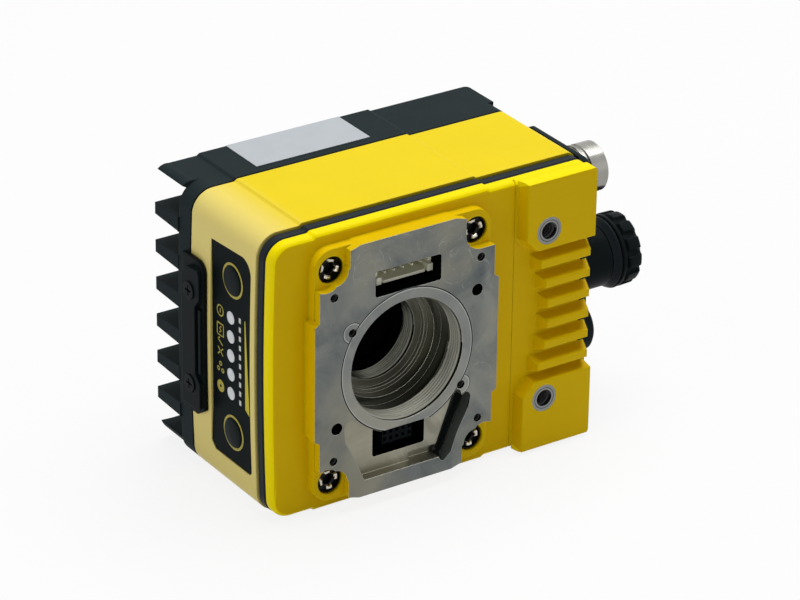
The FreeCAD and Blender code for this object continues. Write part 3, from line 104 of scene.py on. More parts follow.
class Shader:
    """A node material under construction, with short calls for its common parts."""

    def __init__(self, name, colour, roughness, metallic=0.0, specular=0.5, coat=0.0):
        self.material = bpy.data.materials.new(name)
        self.material.use_nodes = True
        self.tree = self.material.node_tree
        self.surface = self.tree.nodes["Principled BSDF"]
        self.set("Base Color", (*colour, 1.0))
        self.set("Roughness", roughness)
        self.set("Metallic", metallic)
        self.set("Specular IOR Level", specular)
        self.set("Coat Weight", coat)
        self.normal = None
        self.place = self.node("ShaderNodeTexCoord").outputs["Object"]
        self.material.diffuse_color = (*colour, 1.0)

    def node(self, kind, **values):
        made = self.tree.nodes.new(kind)
        for key, value in values.items():
            setattr(made, key, value)
        return made

    def link(self, source, target):
        self.tree.links.new(source, target)

    def set(self, socket, value):
        self.surface.inputs[socket].default_value = value

    def noise(self, scale, detail=3.0, rough=0.55, stretch=None, distortion=0.0):
        texture = self.node("ShaderNodeTexNoise")
        texture.inputs["Scale"].default_value = scale
        texture.inputs["Detail"].default_value = detail
        texture.inputs["Roughness"].default_value = rough
        texture.inputs["Distortion"].default_value = distortion
        self.link(self.mapped(stretch) if stretch else self.place, texture.inputs["Vector"])
        return texture.outputs["Fac"]

    def mapped(self, stretch=(1, 1, 1), shift=(0, 0, 0)):
        mapping = self.node("ShaderNodeMapping")
        mapping.inputs["Scale"].default_value = stretch
        mapping.inputs["Location"].default_value = shift
        self.link(self.place, mapping.inputs["Vector"])
        return mapping.outputs["Vector"]

    def rings(self, centre, scale, distortion=0.0, detail=1.0):
        """Circles about a centre in the XZ plane, as a milling cutter leaves."""
        texture = self.node("ShaderNodeTexWave", wave_type="RINGS", rings_direction="Y", wave_profile="SIN")
        texture.inputs["Scale"].default_value = scale
        texture.inputs["Distortion"].default_value = distortion
        texture.inputs["Detail"].default_value = detail
        texture.inputs["Detail Scale"].default_value = 2.0
        self.link(self.mapped(shift=(-centre[0], 0, -centre[1])), texture.inputs["Vector"])
        return texture.outputs["Fac"]

    def reach_from(self, centre):
        """Distance in the XZ plane from a centre."""
        apart = self.node("ShaderNodeVectorMath", operation="MULTIPLY")
        self.link(self.mapped(shift=(-centre[0], 0, -centre[1])), apart.inputs[0])
        apart.inputs[1].default_value = (1, 0, 1)
        reach = self.node("ShaderNodeVectorMath", operation="LENGTH")
        self.link(apart.outputs["Vector"], reach.inputs[0])
        return reach.outputs["Value"]

    def near(self, value, target, width):
        """One where a value lies within a width of its target, falling to zero."""
        return self.ramp(self.math("ABSOLUTE", self.math("SUBTRACT", value, target), 0.0), 1.0, 0.0, 0.0, width)

    def crevices(self, distance):
        """One in the open, less in corners and gaps."""
        around = self.node("ShaderNodeAmbientOcclusion", samples=6)
        around.inputs["Distance"].default_value = distance
        return around.outputs["AO"]

    def ramp(self, value, low, high, from_low=0.0, from_high=1.0):
        span = self.node("ShaderNodeMapRange", clamp=True)
        for socket, number in zip(("From Min", "From Max", "To Min", "To Max"), (from_low, from_high, low, high)):
            span.inputs[socket].default_value = number
        self.link(value, span.inputs["Value"])
        return span.outputs["Result"]

    def math(self, operation, first, second):
        step = self.node("ShaderNodeMath", operation=operation)
        for socket, value in zip(step.inputs, (first, second)):
            if isinstance(value, (int, float)):
                socket.default_value = value
            else:
                self.link(value, socket)
        return step.outputs[0]

    def mix_colour(self, factor, first, second):
        mixer = self.node("ShaderNodeMix", data_type="RGBA")
        self.link(factor, mixer.inputs["Factor"])
        for socket, value in zip((mixer.inputs[6], mixer.inputs[7]), (first, second)):
            if isinstance(value, tuple):
                socket.default_value = (*value, 1.0)
            else:
                self.link(value, socket)
        return mixer.outputs[2]

    def colour(self, output):
        self.link(output, self.surface.inputs["Base Color"])

    def roughness(self, output):
        self.link(output, self.surface.inputs["Roughness"])

    def bump(self, height, strength, distance):
        made = self.node("ShaderNodeBump")
        made.inputs["Strength"].default_value = strength
        made.inputs["Distance"].default_value = distance
        self.link(height, made.inputs["Height"])
        if self.normal is not None:
            self.link(self.normal, made.inputs["Normal"])
        self.normal = made.outputs["Normal"]

    def soft_edges(self, radius):
        """Rounds each sharp edge a little and returns how far a point is on an edge."""
        bevel = self.node("ShaderNodeBevel", samples=4)
        bevel.inputs["Radius"].default_value = radius
        self.normal = bevel.outputs["Normal"]
        facing = self.node("ShaderNodeVectorMath", operation="DOT_PRODUCT")
        self.link(bevel.outputs["Normal"], facing.inputs[0])
        self.link(self.node("ShaderNodeNewGeometry").outputs["Normal"], facing.inputs[1])
        return self.ramp(facing.outputs["Value"], 1.0, 0.0, 0.80, 0.995)

    def done(self):
        if self.normal is not None:
            self.link(self.normal, self.surface.inputs["Normal"])
        return self.material


def shade(colour, factor):
    return tuple(channel * factor for channel in colour)


# Materials

def paint(name, colour, pale_edge_highlight, roughness, edge_radius, left_sheen=None):
    """Satin powder coat: fine grain, faint clouds, painted highlights on edges, painted shade in gaps, and optionally
    a painted sheen towards the left.
    """
    made = Shader(name, colour, roughness, specular=PAINT_SPECULAR)
    edge = made.soft_edges(edge_radius)
    clouds = made.noise(45, detail=4)
    body = made.mix_colour(clouds, shade(colour, 0.95), shade(colour, 1.05))
    # Painted sheen: the paint turns paler and creamier towards the left side, where a soft reflection lies; the paint
    # itself is one colour.
    if left_sheen:
        across = made.node("ShaderNodeSeparateXYZ")
        made.link(made.place, across.inputs["Vector"])
        body = made.mix_colour(made.ramp(across.outputs["X"], 1.0, 0.0, SHEEN_START, SHEEN_END), body, left_sheen)
    # Painted highlight: sharp edges are mixed towards a paler colour.
    body = made.mix_colour(made.math("MULTIPLY", edge, 0.5), body, pale_edge_highlight)
    # Painted shade: darker in gaps and corners, found by ambient occlusion.
    crevice_shade = made.ramp(made.crevices(0.0014), 1.0, 0.0, 0.05, 0.60)
    made.colour(made.mix_colour(crevice_shade, body, shade(colour, 0.35)))
    grain = made.noise(2600, detail=3, rough=0.6)
    made.roughness(made.ramp(grain, roughness - 0.07, roughness + 0.09))
    made.bump(grain, 0.30, 0.00006)
    return made.done()


def coating(name, colour, roughness, grain_scale, grain_strength, edge_highlight_colour, specular=0.025, edge_radius=0.0005):
    """Matt black coat or moulded plastic with a fine grain, painted highlights on edges and painted shade in gaps."""
    made = Shader(name, colour, roughness, specular=specular)
    edge = made.soft_edges(edge_radius)
    clouds = made.noise(60, detail=5)
    body = made.mix_colour(clouds, shade(colour, 0.8), shade(colour, 1.25))
    # Painted highlight: sharp edges are mixed towards the lighter edge colour.
    body = made.mix_colour(made.math("MULTIPLY", edge, 0.6), body, edge_highlight_colour)
    # Painted shade: darker in gaps and corners, found by ambient occlusion.
    crevice_shade = made.ramp(made.crevices(0.0012), 1.0, 0.0, 0.2, 0.8)
    made.colour(made.mix_colour(crevice_shade, body, shade(colour, 0.25)))
    grain = made.noise(grain_scale, detail=4, rough=0.65)
    made.roughness(made.ramp(grain, roughness - 0.1, roughness + 0.1))
    made.bump(grain, grain_strength, 0.00008)
    return made.done()


# Circles that the cutter and the screw washers left on the lens face: x, z, radius in mm
FACE_CIRCLES = (
    (11.4, 29.6, 2.6), (13.0, 30.2, 3.4), (14.6, 30.4, 3.0), (16.2, 26.2, 3.6), (12.2, 31.8, 4.6), (15.4, 24.0, 5.2),
    (22.8, 20.0, 3.8), (22.0, 19.0, 4.8), (-14.0, 29.6, 3.6), (-12.6, 31.6, 4.6), (-2.2, 33.4, 4.2), (5.6, 33.8, 3.0),
    (23.4, -12.0, 4.4),
)
RING_REACH = 21.0 * MM
EAR_LOBE = 2.9 * MM


def ring_outline(made):
    """Signed distance from the outline of the lens ring with its two ear lobes."""
    ring = made.math("SUBTRACT", made.reach_from((0, 0)), RING_REACH)
    for x, z in EAR_SPOTS:
        lobe = made.math("SUBTRACT", made.reach_from((x, z)), EAR_LOBE)
        ring = made.math("MINIMUM", ring, lobe)
    return ring


def bare_metal(name, low, high, mark_and_highlight, roughness, marked=True, warm=(0.250, 0.236, 0.180)):
    """Machined aluminium: cutter circles, cloudy stains and small scuffs, with painted highlights on edges and just
    inside the lens ring.
    """
    made = Shader(name, low, roughness, metallic=1.0)
    edge = made.soft_edges(0.0003)
    stain = made.noise(60, detail=7, rough=0.62, distortion=0.8)
    blotch = made.noise(28, detail=3)
    fleck = made.noise(420, detail=5, rough=0.7)
    scuff = made.noise(700, detail=6, rough=0.7, stretch=(1, 1, 0.25))
    body = made.mix_colour(made.ramp(stain, 0.0, 1.0, 0.32, 0.68), low, high)
    body = made.mix_colour(made.ramp(blotch, 0.0, 0.70, 0.48, 0.64), body, warm)
    if marked:
        marks = 0.0
        for x, z, radius in FACE_CIRCLES:
            line = made.near(made.reach_from((x * MM, z * MM)), radius * MM, 0.00014)
            marks = line if isinstance(marks, float) else made.math("MAXIMUM", marks, line)
        worn = made.math("MULTIPLY", marks, made.ramp(fleck, 0.0, 0.6, 0.48, 0.64))
        arcs = made.rings((0.012, 0.028), 420, distortion=3.0, detail=3)
        faint = made.math("MULTIPLY", made.ramp(arcs, 0.0, 1.0, 0.7, 1.0), made.ramp(stain, 0, 0.05, 0.45, 0.65))
        body = made.mix_colour(made.math("MAXIMUM", worn, faint), body, mark_and_highlight)
        ring = ring_outline(made)
        body = made.mix_colour(made.ramp(ring, 0.22, 0.0, -0.0001, 0.0), body, shade(mark_and_highlight, 0.8))
        body = made.mix_colour(made.near(ring, 0.00010, 0.00014), body, shade(low, 0.12))
        # Painted highlight: a thin bright line just inside the lens ring's outline.
        body = made.mix_colour(made.math("MULTIPLY", made.near(ring, -0.00022, 0.00018), 0.8), body, mark_and_highlight)
    # Painted highlight: sharp edges are mixed towards the bright mark colour.
    made.colour(made.mix_colour(made.math("MULTIPLY", edge, 0.6), body, mark_and_highlight))
    made.roughness(made.ramp(scuff, roughness - 0.06, roughness + 0.10, 0.3, 0.7))
    made.bump(scuff, 0.06, 0.00003)
    made.bump(fleck, 0.05, 0.00003)
    return made.done()


def turned_bore(name, dark, light, roughness, edge_radius=0.00018):
    """Turned aluminium: faint bands that run round the bore, painted shade in the roots and painted highlights on
    crests and edges.
    """
    made = Shader(name, dark, roughness, metallic=1.0)
    edge = made.soft_edges(edge_radius)
    bands = made.noise(500, detail=3, rough=0.6, stretch=(0.01, 1, 0.01))
    broad = made.noise(90, detail=2, stretch=(0.4, 1, 0.4))
    tone = made.math("MULTIPLY", made.ramp(bands, 0.6, 1.0, 0.3, 0.7), made.ramp(broad, 0.3, 1.0, 0.35, 0.65))
    body = made.mix_colour(tone, dark, light)
    # Painted highlight: crests and edges are mixed towards a bright metal colour.
    body = made.mix_colour(made.math("MULTIPLY", edge, 0.7), body, (0.66, 0.64, 0.56))
    # Painted shade: darker in thread roots and corners, found by ambient occlusion.
    root_shade = made.ramp(made.crevices(0.0012), 1.0, 0.0, 0.15, 0.70)
    made.colour(made.mix_colour(root_shade, body, shade(dark, 0.2)))
    made.roughness(made.ramp(bands, roughness - 0.04, roughness + 0.06))
    return made.done()


def turned_metal(name, colour, roughness, axis, pitch_scale):
    """Metal with fine turning lines round an axis and painted highlights on edges."""
    made = Shader(name, colour, roughness, metallic=1.0)
    edge = made.soft_edges(0.00012)
    lines = made.node("ShaderNodeTexWave", wave_type="BANDS", bands_direction=axis)
    lines.inputs["Scale"].default_value = pitch_scale
    lines.inputs["Distortion"].default_value = 0.4
    made.link(made.place, lines.inputs["Vector"])
    dirt = made.noise(300, detail=4)
    body = made.mix_colour(dirt, shade(colour, 0.82), shade(colour, 1.1))
    # Painted highlight: sharp edges are mixed towards a lighter copy of the colour.
    made.colour(made.mix_colour(made.math("MULTIPLY", edge, 0.5), body, shade(colour, 1.25)))
    made.roughness(made.ramp(dirt, roughness - 0.06, roughness + 0.12))
    made.bump(lines.outputs["Fac"], 0.12, 0.00004)
    return made.done()


def plain(name, colour, roughness, metallic=0.0, coat=0.0, grain=0.05, grain_scale=1800, specular=0.5):
    """Smooth plastic, print or plating with a trace of grain."""
    made = Shader(name, colour, roughness, metallic=metallic, coat=coat, specular=specular)
    made.soft_edges(0.00015)
    clouds = made.noise(grain_scale * 0.08, detail=3)
    made.colour(made.mix_colour(clouds, shade(colour, 0.93), shade(colour, 1.06)))
    fine = made.noise(grain_scale, detail=3)
    made.roughness(made.ramp(fine, roughness - 0.05, roughness + 0.06))
    made.bump(fine, grain, 0.00004)
    return made.done()


def circuit_mask():
    """Dark solder mask with faint tracks."""
    made = Shader("solder_mask", (0.004, 0.007, 0.006), 0.4, specular=0.1)
    made.soft_edges(0.0001)
    tracks = made.node("ShaderNodeTexBrick")
    tracks.inputs["Scale"].default_value = 260
    tracks.inputs["Mortar Size"].default_value = 0.035
    tracks.inputs["Color1"].default_value = (0.003, 0.006, 0.005, 1)
    tracks.inputs["Color2"].default_value = (0.004, 0.008, 0.007, 1)
    tracks.inputs["Mortar"].default_value = (0.010, 0.016, 0.013, 1)
    made.link(made.place, tracks.inputs["Vector"])
    made.colour(tracks.outputs["Color"])
    made.bump(tracks.outputs["Fac"], 0.1, 0.00003)
    return made.done()


PAINT_SPECULAR = 0.05
SHEEN_START = -0.0405
SHEEN_END = -0.0240

YELLOW = (0.71, 0.475, 0.000)
# Edge colours are painted highlights, mixed in at sharp edges.
YELLOW_EDGE_HIGHLIGHT = (1.0, 0.86, 0.000)
# Lighter copy of the casting yellow: a painted highlight on the rim that faces the top light.
LIT_RIM_YELLOW = (0.94, 0.76, 0.000)
COVER_YELLOW = (0.80, 0.61, 0.006)
COVER_EDGE_HIGHLIGHT = (0.95, 0.84, 0.30)
# Paler cover colour towards the left, a painted sheen.
COVER_LEFT_SHEEN = (0.80, 0.67, 0.23)
BLACK = (0.0145, 0.0220, 0.0240)
BLACK_EDGE_HIGHLIGHT = (0.034, 0.044, 0.047)
MOULDED_BLACK = (0.0055, 0.0085, 0.0095)

PAINT = paint("yellow_satin_paint", YELLOW, YELLOW_EDGE_HIGHLIGHT, 0.42, 0.0008)
LIT_RIM_PAINT = paint("yellow_rim_painted_highlight", LIT_RIM_YELLOW, YELLOW_EDGE_HIGHLIGHT, 0.42, 0.0002)
COVER_PAINT = paint("yellow_cover_paint", COVER_YELLOW, COVER_EDGE_HIGHLIGHT, 0.36, 0.0003, left_sheen=COVER_LEFT_SHEEN)
BARE = bare_metal("machined_aluminium", (0.084, 0.099, 0.103), (0.200, 0.206, 0.186), (0.46, 0.47, 0.45), 0.36)
RELIEF = bare_metal("milled_relief", (0.155, 0.150, 0.120), (0.42, 0.41, 0.33), (0.62, 0.60, 0.50), 0.38, marked=False)
BORE = turned_bore("turned_aluminium", (0.20, 0.20, 0.165), (0.46, 0.45, 0.37), 0.26)
# Darker copies of the turned aluminium are painted shade deeper in the bore: barrel, undercut and inner thread.
BARREL_SHADED = turned_bore("turned_barrel_painted_shade", (0.028, 0.030, 0.024), (0.17, 0.17, 0.135), 0.30, edge_radius=0.0004)
UNDERCUT_SHADED = turned_bore("undercut_ring_painted_shade", (0.018, 0.020, 0.016), (0.070, 0.072, 0.058), 0.30)
THREAD = turned_bore("cut_thread", (0.095, 0.097, 0.082), (0.34, 0.335, 0.28), 0.28)
INNER_THREAD_SHADED = turned_bore("inner_cut_thread_painted_shade", (0.045, 0.048, 0.040), (0.20, 0.20, 0.16), 0.26)
# Painted shade in the ring groove, the bush bores and their chamfers.
RECESS_SHADE = bare_metal("cut_aluminium_painted_shade", (0.018, 0.024, 0.026), (0.045, 0.055, 0.055), (0.16, 0.17, 0.17), 0.40,
                    marked=False, warm=(0.05, 0.05, 0.045))
# Channel: the dark coat is painted shade, the paler copy painted light, and the crest a painted highlight.
GUTTER_SHADE = coating("channel_casting_painted_shade", (0.012, 0.017, 0.016), 0.24, 900, 0.10, (0.36, 0.36, 0.32), specular=0.25)
GUTTER_LIT = coating("channel_lit_right_wall", (0.070, 0.078, 0.069), 0.24, 900, 0.10, (0.36, 0.36, 0.32), specular=0.75)
CREST_HIGHLIGHT = plain("channel_painted_highlight", (0.36, 0.36, 0.31), 0.30, metallic=1.0)
CHROME = plain("bright_chrome", (0.50, 0.48, 0.43), 0.08, metallic=1.0, grain=0.01)
COAT = coating("black_grained_coat", BLACK, 0.55, 2200, 0.5, BLACK_EDGE_HIGHLIGHT, edge_radius=0.0008)
MOULDED = coating("black_moulded_plastic", MOULDED_BLACK, 0.40, 3200, 0.25, (0.020, 0.027, 0.030))
RUBBER = coating("seal_rubber_matt", (0.013, 0.018, 0.022), 0.42, 3000, 0.12, (0.034, 0.044, 0.050), specular=0.05)
# Near black: a black aperture deep in the bore, and painted shade in holes and on window walls.
BLACK_AND_SHADE = coating("interior_black_and_painted_shade", (0.0015, 0.0018, 0.0018), 0.8, 2500, 0.1, (0.002, 0.0025, 0.0025), specular=0.0)
FILM = plain("black_overlay_film", (0.0035, 0.0065, 0.0070), 0.34, grain=0.10, grain_scale=3500, specular=0.015)
KEY_FILM = plain("key_film", (0.007, 0.011, 0.012), 0.36, grain=0.10, grain_scale=3500, specular=0.03)
PRINT = plain("yellow_print", (0.62, 0.53, 0.035), 0.40, specular=0.1)
PRINT_FAINT = plain("faint_yellow_print", (0.46, 0.40, 0.075), 0.40, specular=0.1)
PRINT_WHITE = plain("white_print", (0.66, 0.68, 0.66), 0.40, specular=0.1)
LENS_WHITE = plain("milky_light_lens", (0.74, 0.77, 0.79), 0.30, coat=0.2, grain=0.02, specular=0.2)
LABEL = plain("label_film", (0.43, 0.46, 0.49), 0.32, coat=0.05, specular=0.2)
HEADER = plain("cream_nylon", (0.96, 0.95, 0.76), 0.38, specular=0.3)
# Dark copy of the cream nylon: painted shade inside the header.
HEADER_SHADE = plain("cream_nylon_painted_shade", (0.13, 0.125, 0.080), 0.45, specular=0.05)
PIN_TIN = plain("tinned_pin", (0.90, 0.88, 0.72), 0.30, specular=0.5)
NICKEL = turned_metal("turned_nickel", (0.30, 0.295, 0.27), 0.22, "X", 900)
INSERT_NICKEL = turned_metal("insert_nickel", (0.22, 0.225, 0.215), 0.26, "Y", 900)
SCREW_DARK = plain("blackened_screw", (0.012, 0.013, 0.013), 0.22, metallic=1.0, grain=0.03)
DOOR_SCREW = coating("door_screw_black", (0.0055, 0.0075, 0.0085), 0.30, 2600, 0.15, (0.050, 0.060, 0.065),
                     specular=0.03, edge_radius=0.0002)
STEEL = plain("plain_steel", (0.40, 0.40, 0.39), 0.25, metallic=1.0)
GOLD = plain("gold_plate", (0.86, 0.80, 0.62), 0.20, metallic=1.0)
MASK = circuit_mask()
GLASS = plain("filter_glass", (0.002, 0.002, 0.003), 0.08, coat=0.0, grain=0.0, specular=0.02)
CERAMIC = plain("sensor_ceramic_body", (0.010, 0.009, 0.012), 0.22, coat=0.1, specular=0.1)
GAP_PAD = plain("soft_gap_pad", (0.24, 0.30, 0.36), 0.70, grain=0.3)

NODE_MATERIALS = {
    "wrap_cover": COVER_PAINT,
    "front_seal": RUBBER,
    "rear_seal": RUBBER,
    "rear_housing": COAT,
    "rating_label": LABEL,
    "control_overlay": FILM,
    "trigger_button": KEY_FILM,
    "tune_button": KEY_FILM,
    "status_lights": LENS_WHITE,
    "ui_board": MASK,
    "card_door": MOULDED,
    "card_door_gasket": RUBBER,
    "card_door_screws": DOOR_SCREW,
    "card_socket": NICKEL,
    "card_door_nuts": NICKEL,
    "memory_card": FILM,
    "connector_panel": COAT,
    "panel_gasket": RUBBER,
    "io_connector_shell": NICKEL,
    "io_connector_insert": MOULDED,
    "network_connector_shell": MOULDED,
    "network_connector_insert": MOULDED,
    "light_connector_shell": COAT,
    "light_connector_insert": MOULDED,
    "connector_nuts": NICKEL,
    "connector_board": MASK,
    "protective_cap": MOULDED,
    "cap_gasket": RUBBER,
    "interface_board": MASK,
    "lens_drive_header": HEADER,
    "lens_drive_pins": GOLD,
    "expansion_header": MOULDED,
    "sensor_window": GLASS,
    "image_sensor": CERAMIC,
    "sensor_board": MASK,
    "sensor_board_screws": STEEL,
    "processor_board": MASK,
    "power_board": MASK,
    "board_spacers": NICKEL,
    "board_screws": STEEL,
    "thermal_pad": GAP_PAD,
    "mounting_inserts": INSERT_NICKEL,
    "captive_screws": SCREW_DARK,
}


def dress(node, *materials):
    slots = NODES[node].data.materials
    slots.clear()
    for material in materials:
        slots.append(material)


for node_name, node_material in NODE_MATERIALS.items():
    dress(node_name, node_material)


# The casting is painted, its lens face and everything cut into it is bare metal; holes, window walls, the channel and
# the deep bore take painted shade or light, and the rounded rim a painted highlight

BORE_RADIUS = MOUNTS["lens_thread"]["dims"]["r_mm"] * MM
BORE_LENGTH = MOUNTS["lens_thread"]["dims"]["length_mm"] * MM
INNER_RADIUS = MOUNTS["c_mount_thread"]["dims"]["r_mm"] * MM
INNER_START = MOUNTS["c_mount_thread"]["pos_m"][1]
INNER_LENGTH = MOUNTS["c_mount_thread"]["dims"]["length_mm"] * MM
BARREL_RADIUS = 19.9 * MM
FACE_PLANE = 0.05 * MM
RING_LINE_RADIUS = 21.8 * MM
RING_LINE_DEPTH = 0.6 * MM
UNDERCUT_END = 11.0 * MM
POCKET_TOP = -13.0 * MM
POCKET_BOTTOM = -33.4 * MM
POCKET_SLOPE = (-18.1 * MM, -23.1 * MM, -13.6 * MM, -33.1 * MM)
POCKET_LEFT = -20.3 * MM
CHANNEL_BOTTOM = -34.9 * MM
POCKET_RIGHT = 21.2 * MM
POCKET_FLOOR = 3.02 * MM
CHANNEL_LEFT = 10.6 * MM
CASTING_BACK = 8.6 * MM
APERTURE_FRONT = INNER_START + INNER_LENGTH - 0.1 * MM
WINDOWS = ((-10.7 * MM, 20.9 * MM, 10.7 * MM, 29.0 * MM), (-9.2 * MM, -28.9 * MM, 8.0 * MM, -19.5 * MM))
HOLE_MARGIN = 0.15 * MM
RIM_LEFT = -35.0 * MM
RIM_LEVEL = 38.5 * MM
RIM_FRONT = 1.5 * MM
RIM_BACK = 9.0 * MM
RIM_SLOPE = (-0.92, 0.10)
SMALL_HOLES = [(x, z, MOUNTS["face_taps"]["dims"]["hole_r_mm"] * MM + HOLE_MARGIN) for x, z in tap_spots()]
SMALL_HOLES += [(x, z, MOUNTS["bore_ears"]["dims"]["hole_r_mm"] * MM + HOLE_MARGIN) for x, z in EAR_SPOTS]
SMALL_HOLES += [(x, z, MOUNTS["dowel_holes"]["dims"]["hole_r_mm"] * MM + HOLE_MARGIN) for x, z in dowel_spots()]
CASTING_FINISHES = (PAINT, BARE, BORE, RECESS_SHADE, BLACK_AND_SHADE, RELIEF, GUTTER_LIT, BARREL_SHADED, UNDERCUT_SHADED, LIT_RIM_PAINT)
(FINISH_PAINT, FINISH_BARE, FINISH_BORE, FINISH_RECESS_SHADE, FINISH_BLACK_AND_SHADE, FINISH_RELIEF, FINISH_GUTTER_LIT,
 FINISH_BARREL_SHADED, FINISH_UNDERCUT_SHADED, FINISH_LIT_RIM) = range(len(CASTING_FINISHES))


def in_pocket(x, z):
    """Inside the milled relief or its cable channel."""
    if x > CHANNEL_LEFT:
        return x < POCKET_RIGHT and CHANNEL_BOTTOM < z < POCKET_TOP
    if not POCKET_BOTTOM < z < POCKET_TOP:
        return False
    top_x, top_z, low_x, low_z = POCKET_SLOPE
    left = POCKET_LEFT if z > top_z else top_x + (low_x - top_x) * (z - top_z) / (low_z - top_z)
    return x > left


def on_rim(x, y, z, turned):
    """On the rounded outer edge of the casting or on the flank behind it."""
    outermost = x < RIM_LEFT or abs(z) > RIM_LEVEL
    return outermost and RIM_FRONT < y < RIM_BACK and RIM_SLOPE[0] < turned < RIM_SLOPE[1]


def casting_finish(centre, turned):
    """Which finish one face of the casting has, by where it lies and how far it is turned to the front."""
    x, y, z = centre
    faces_front = turned < -0.9
    # Painted highlight: the rounded rim and its flank take the lighter rim yellow.
    if on_rim(x, y, z, turned):
        return FINISH_LIT_RIM
    reach = math.hypot(x, z)
    # Deep in the bore: black aperture, partly painted shade.
    if reach < INNER_RADIUS + 0.2 * MM and y > APERTURE_FRONT:
        return FINISH_BLACK_AND_SHADE
    if y < FACE_PLANE and faces_front:
        return FINISH_BARE
    # Painted shade in the small holes.
    if any(math.hypot(x - hole_x, z - hole_z) < radius for hole_x, hole_z, radius in SMALL_HOLES):
        return FINISH_BLACK_AND_SHADE
    # Inside the bore: the barrel and undercut take darker copies, painted shade.
    if reach < BARREL_RADIUS:
        if faces_front:
            return FINISH_BORE
        return FINISH_UNDERCUT_SHADED if BORE_LENGTH < y < UNDERCUT_END else FINISH_BARREL_SHADED
    # Painted shade on the walls of the groove round the lens ring.
    if y < RING_LINE_DEPTH and reach < RING_LINE_RADIUS:
        return FINISH_RECESS_SHADE
    # Window walls in painted shade; only their front-facing floor is relief metal.
    if y < CASTING_BACK and any(left < x < right and low < z < high for left, low, right, high in WINDOWS):
        in_floor = faces_front and y < POCKET_FLOOR
        return FINISH_RELIEF if in_floor else FINISH_BLACK_AND_SHADE
    # Channel faces of the casting take the paler gutter colour, painted light.
    if in_pocket(x, z) and y < CASTING_BACK:
        in_channel = x > CHANNEL_LEFT and (y > POCKET_FLOOR + 0.2 * MM or not faces_front)
        return FINISH_GUTTER_LIT if in_channel else FINISH_RELIEF
    return FINISH_PAINT


def dress_casting():
    dress("front_housing", *CASTING_FINISHES)
    mesh = NODES["front_housing"].data
    for polygon in mesh.polygons:
        polygon.material_index = casting_finish(polygon.center, polygon.normal.y)


def dress_bushes():
    """Painted shade inside the threaded bushes, plated outside."""
    dress("mounting_inserts", INSERT_NICKEL, RECESS_SHADE)
    x = MOUNTS["mounting_threads"]["pos_m"][0]
    level = MOUNTS["mounting_threads"]["dims"]["spacing_y_mm"] / 2 * MM
    inside = MOUNTS["mounting_threads"]["dims"]["hole_r_mm"] * MM + HOLE_MARGIN
    for polygon in NODES["mounting_inserts"].data.polygons:
        middle = polygon.center
        reach = math.hypot(middle.x - x, abs(middle.z) - level)
        polygon.material_index = 1 if reach < inside and abs(polygon.normal.y) < 0.5 else 0


dress_casting()
dress_bushes()


# Mesh helpers

def add_piece(name, mesh, material, body, replaces=(), smooth=True):
    """Link a finished mesh, in the row frame, and let it ride on its body."""
    piece = bpy.data.objects.new(name, mesh)
    bpy.context.scene.collection.objects.link(piece)
    mesh.materials.append(material)
    if smooth:
        mesh.shade_smooth()
        mesh.set_sharp_from_angle(angle=math.radians(35))
    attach(piece, body)
    if replaces:
        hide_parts(*replaces)
    return piece


def mesh_of(name, points, faces):
    mesh = bpy.data.meshes.new(name)
    mesh.from_pydata(points, [], faces)
    work = bmesh.new()
    work.from_mesh(mesh)
    bmesh.ops.remove_doubles(work, verts=work.verts, dist=1e-7)
    bmesh.ops.recalc_face_normals(work, faces=work.faces)
    work.to_mesh(mesh)
    work.free()
    return mesh


def joined(name, meshes):
    """One mesh of several."""
    work = bmesh.new()
    for mesh in meshes:
        work.from_mesh(mesh)
    made = bpy.data.meshes.new(name)
    work.to_mesh(made)
    work.free()
    return made


def about_y(x, z):
    """Places (along, radius, angle) round an axis along Y through (x, z)."""
    return lambda along, radius, angle: (x + radius * math.cos(angle), along, z + radius * math.sin(angle))


def about_x(y, z):
    return lambda along, radius, angle: (along, y + radius * math.cos(angle), z + radius * math.sin(angle))


def lathe(name, place, profile, segments=64):
    """Closed profile of (along, radius) turned a full circle."""
    points = []
    faces = []
    count = len(profile)
    for step in range(segments):
        angle = 2 * math.pi * step / segments
        points.extend(place(along, radius, angle) for along, radius in profile)
    for step in range(segments):
        after = (step + 1) % segments
        for index in range(count):
            other = (index + 1) % count
            if profile[index][1] == 0 and profile[other][1] == 0:
                continue
            faces.append((step * count + index, step * count + other, after * count + other, after * count + index))
    return mesh_of(name, points, faces)


def helix_ridge(name, place, start, length, radius, height, pitch, segments=96):
    """Thread ridge of triangular section; a negative height points to the axis."""
    turns = (length - pitch) / pitch
    steps = int(turns * segments)
    section = ((-0.48, 0.0), (-0.06, 1.0), (0.06, 1.0), (0.48, 0.0), (0.0, -0.15))
    points = []
    for step in range(steps + 1):
        angle = 2 * math.pi * step / segments
        middle = start + pitch / 2 + pitch * step / segments
        fade = min(1.0, step / (segments / 6), (steps - step) / (segments / 6))
        for along, rise in section:
            points.append(place(middle + along * pitch, radius + height * rise * max(fade, 0.05), angle))
    count = len(section)
    faces = [tuple(range(count)), tuple(range(steps * count, (steps + 1) * count))]
    for step in range(steps):
        for index in range(count):
            other = (index + 1) % count
            base, after = step * count, (step + 1) * count
            faces.append((base + index, base + other, after + other, after + index))
    return mesh_of(name, points, faces)


def plate(name, loops, normal_place, thickness):
    """Flat prints: each loop of (u, v) raised from 0 to thickness by normal_place(u, v, height)."""
    points = []
    faces = []
    for loop in loops:
        base = len(points)
        count = len(loop)
        points.extend(normal_place(u, v, 0) for u, v in loop)
        points.extend(normal_place(u, v, thickness) for u, v in loop)
        faces.append(tuple(range(base, base + count)))
        faces.append(tuple(range(base + count, base + 2 * count)))
        for index in range(count):
            other = (index + 1) % count
            faces.append((base + index, base + other, base + count + other, base + count + index))
    return mesh_of(name, points, faces)


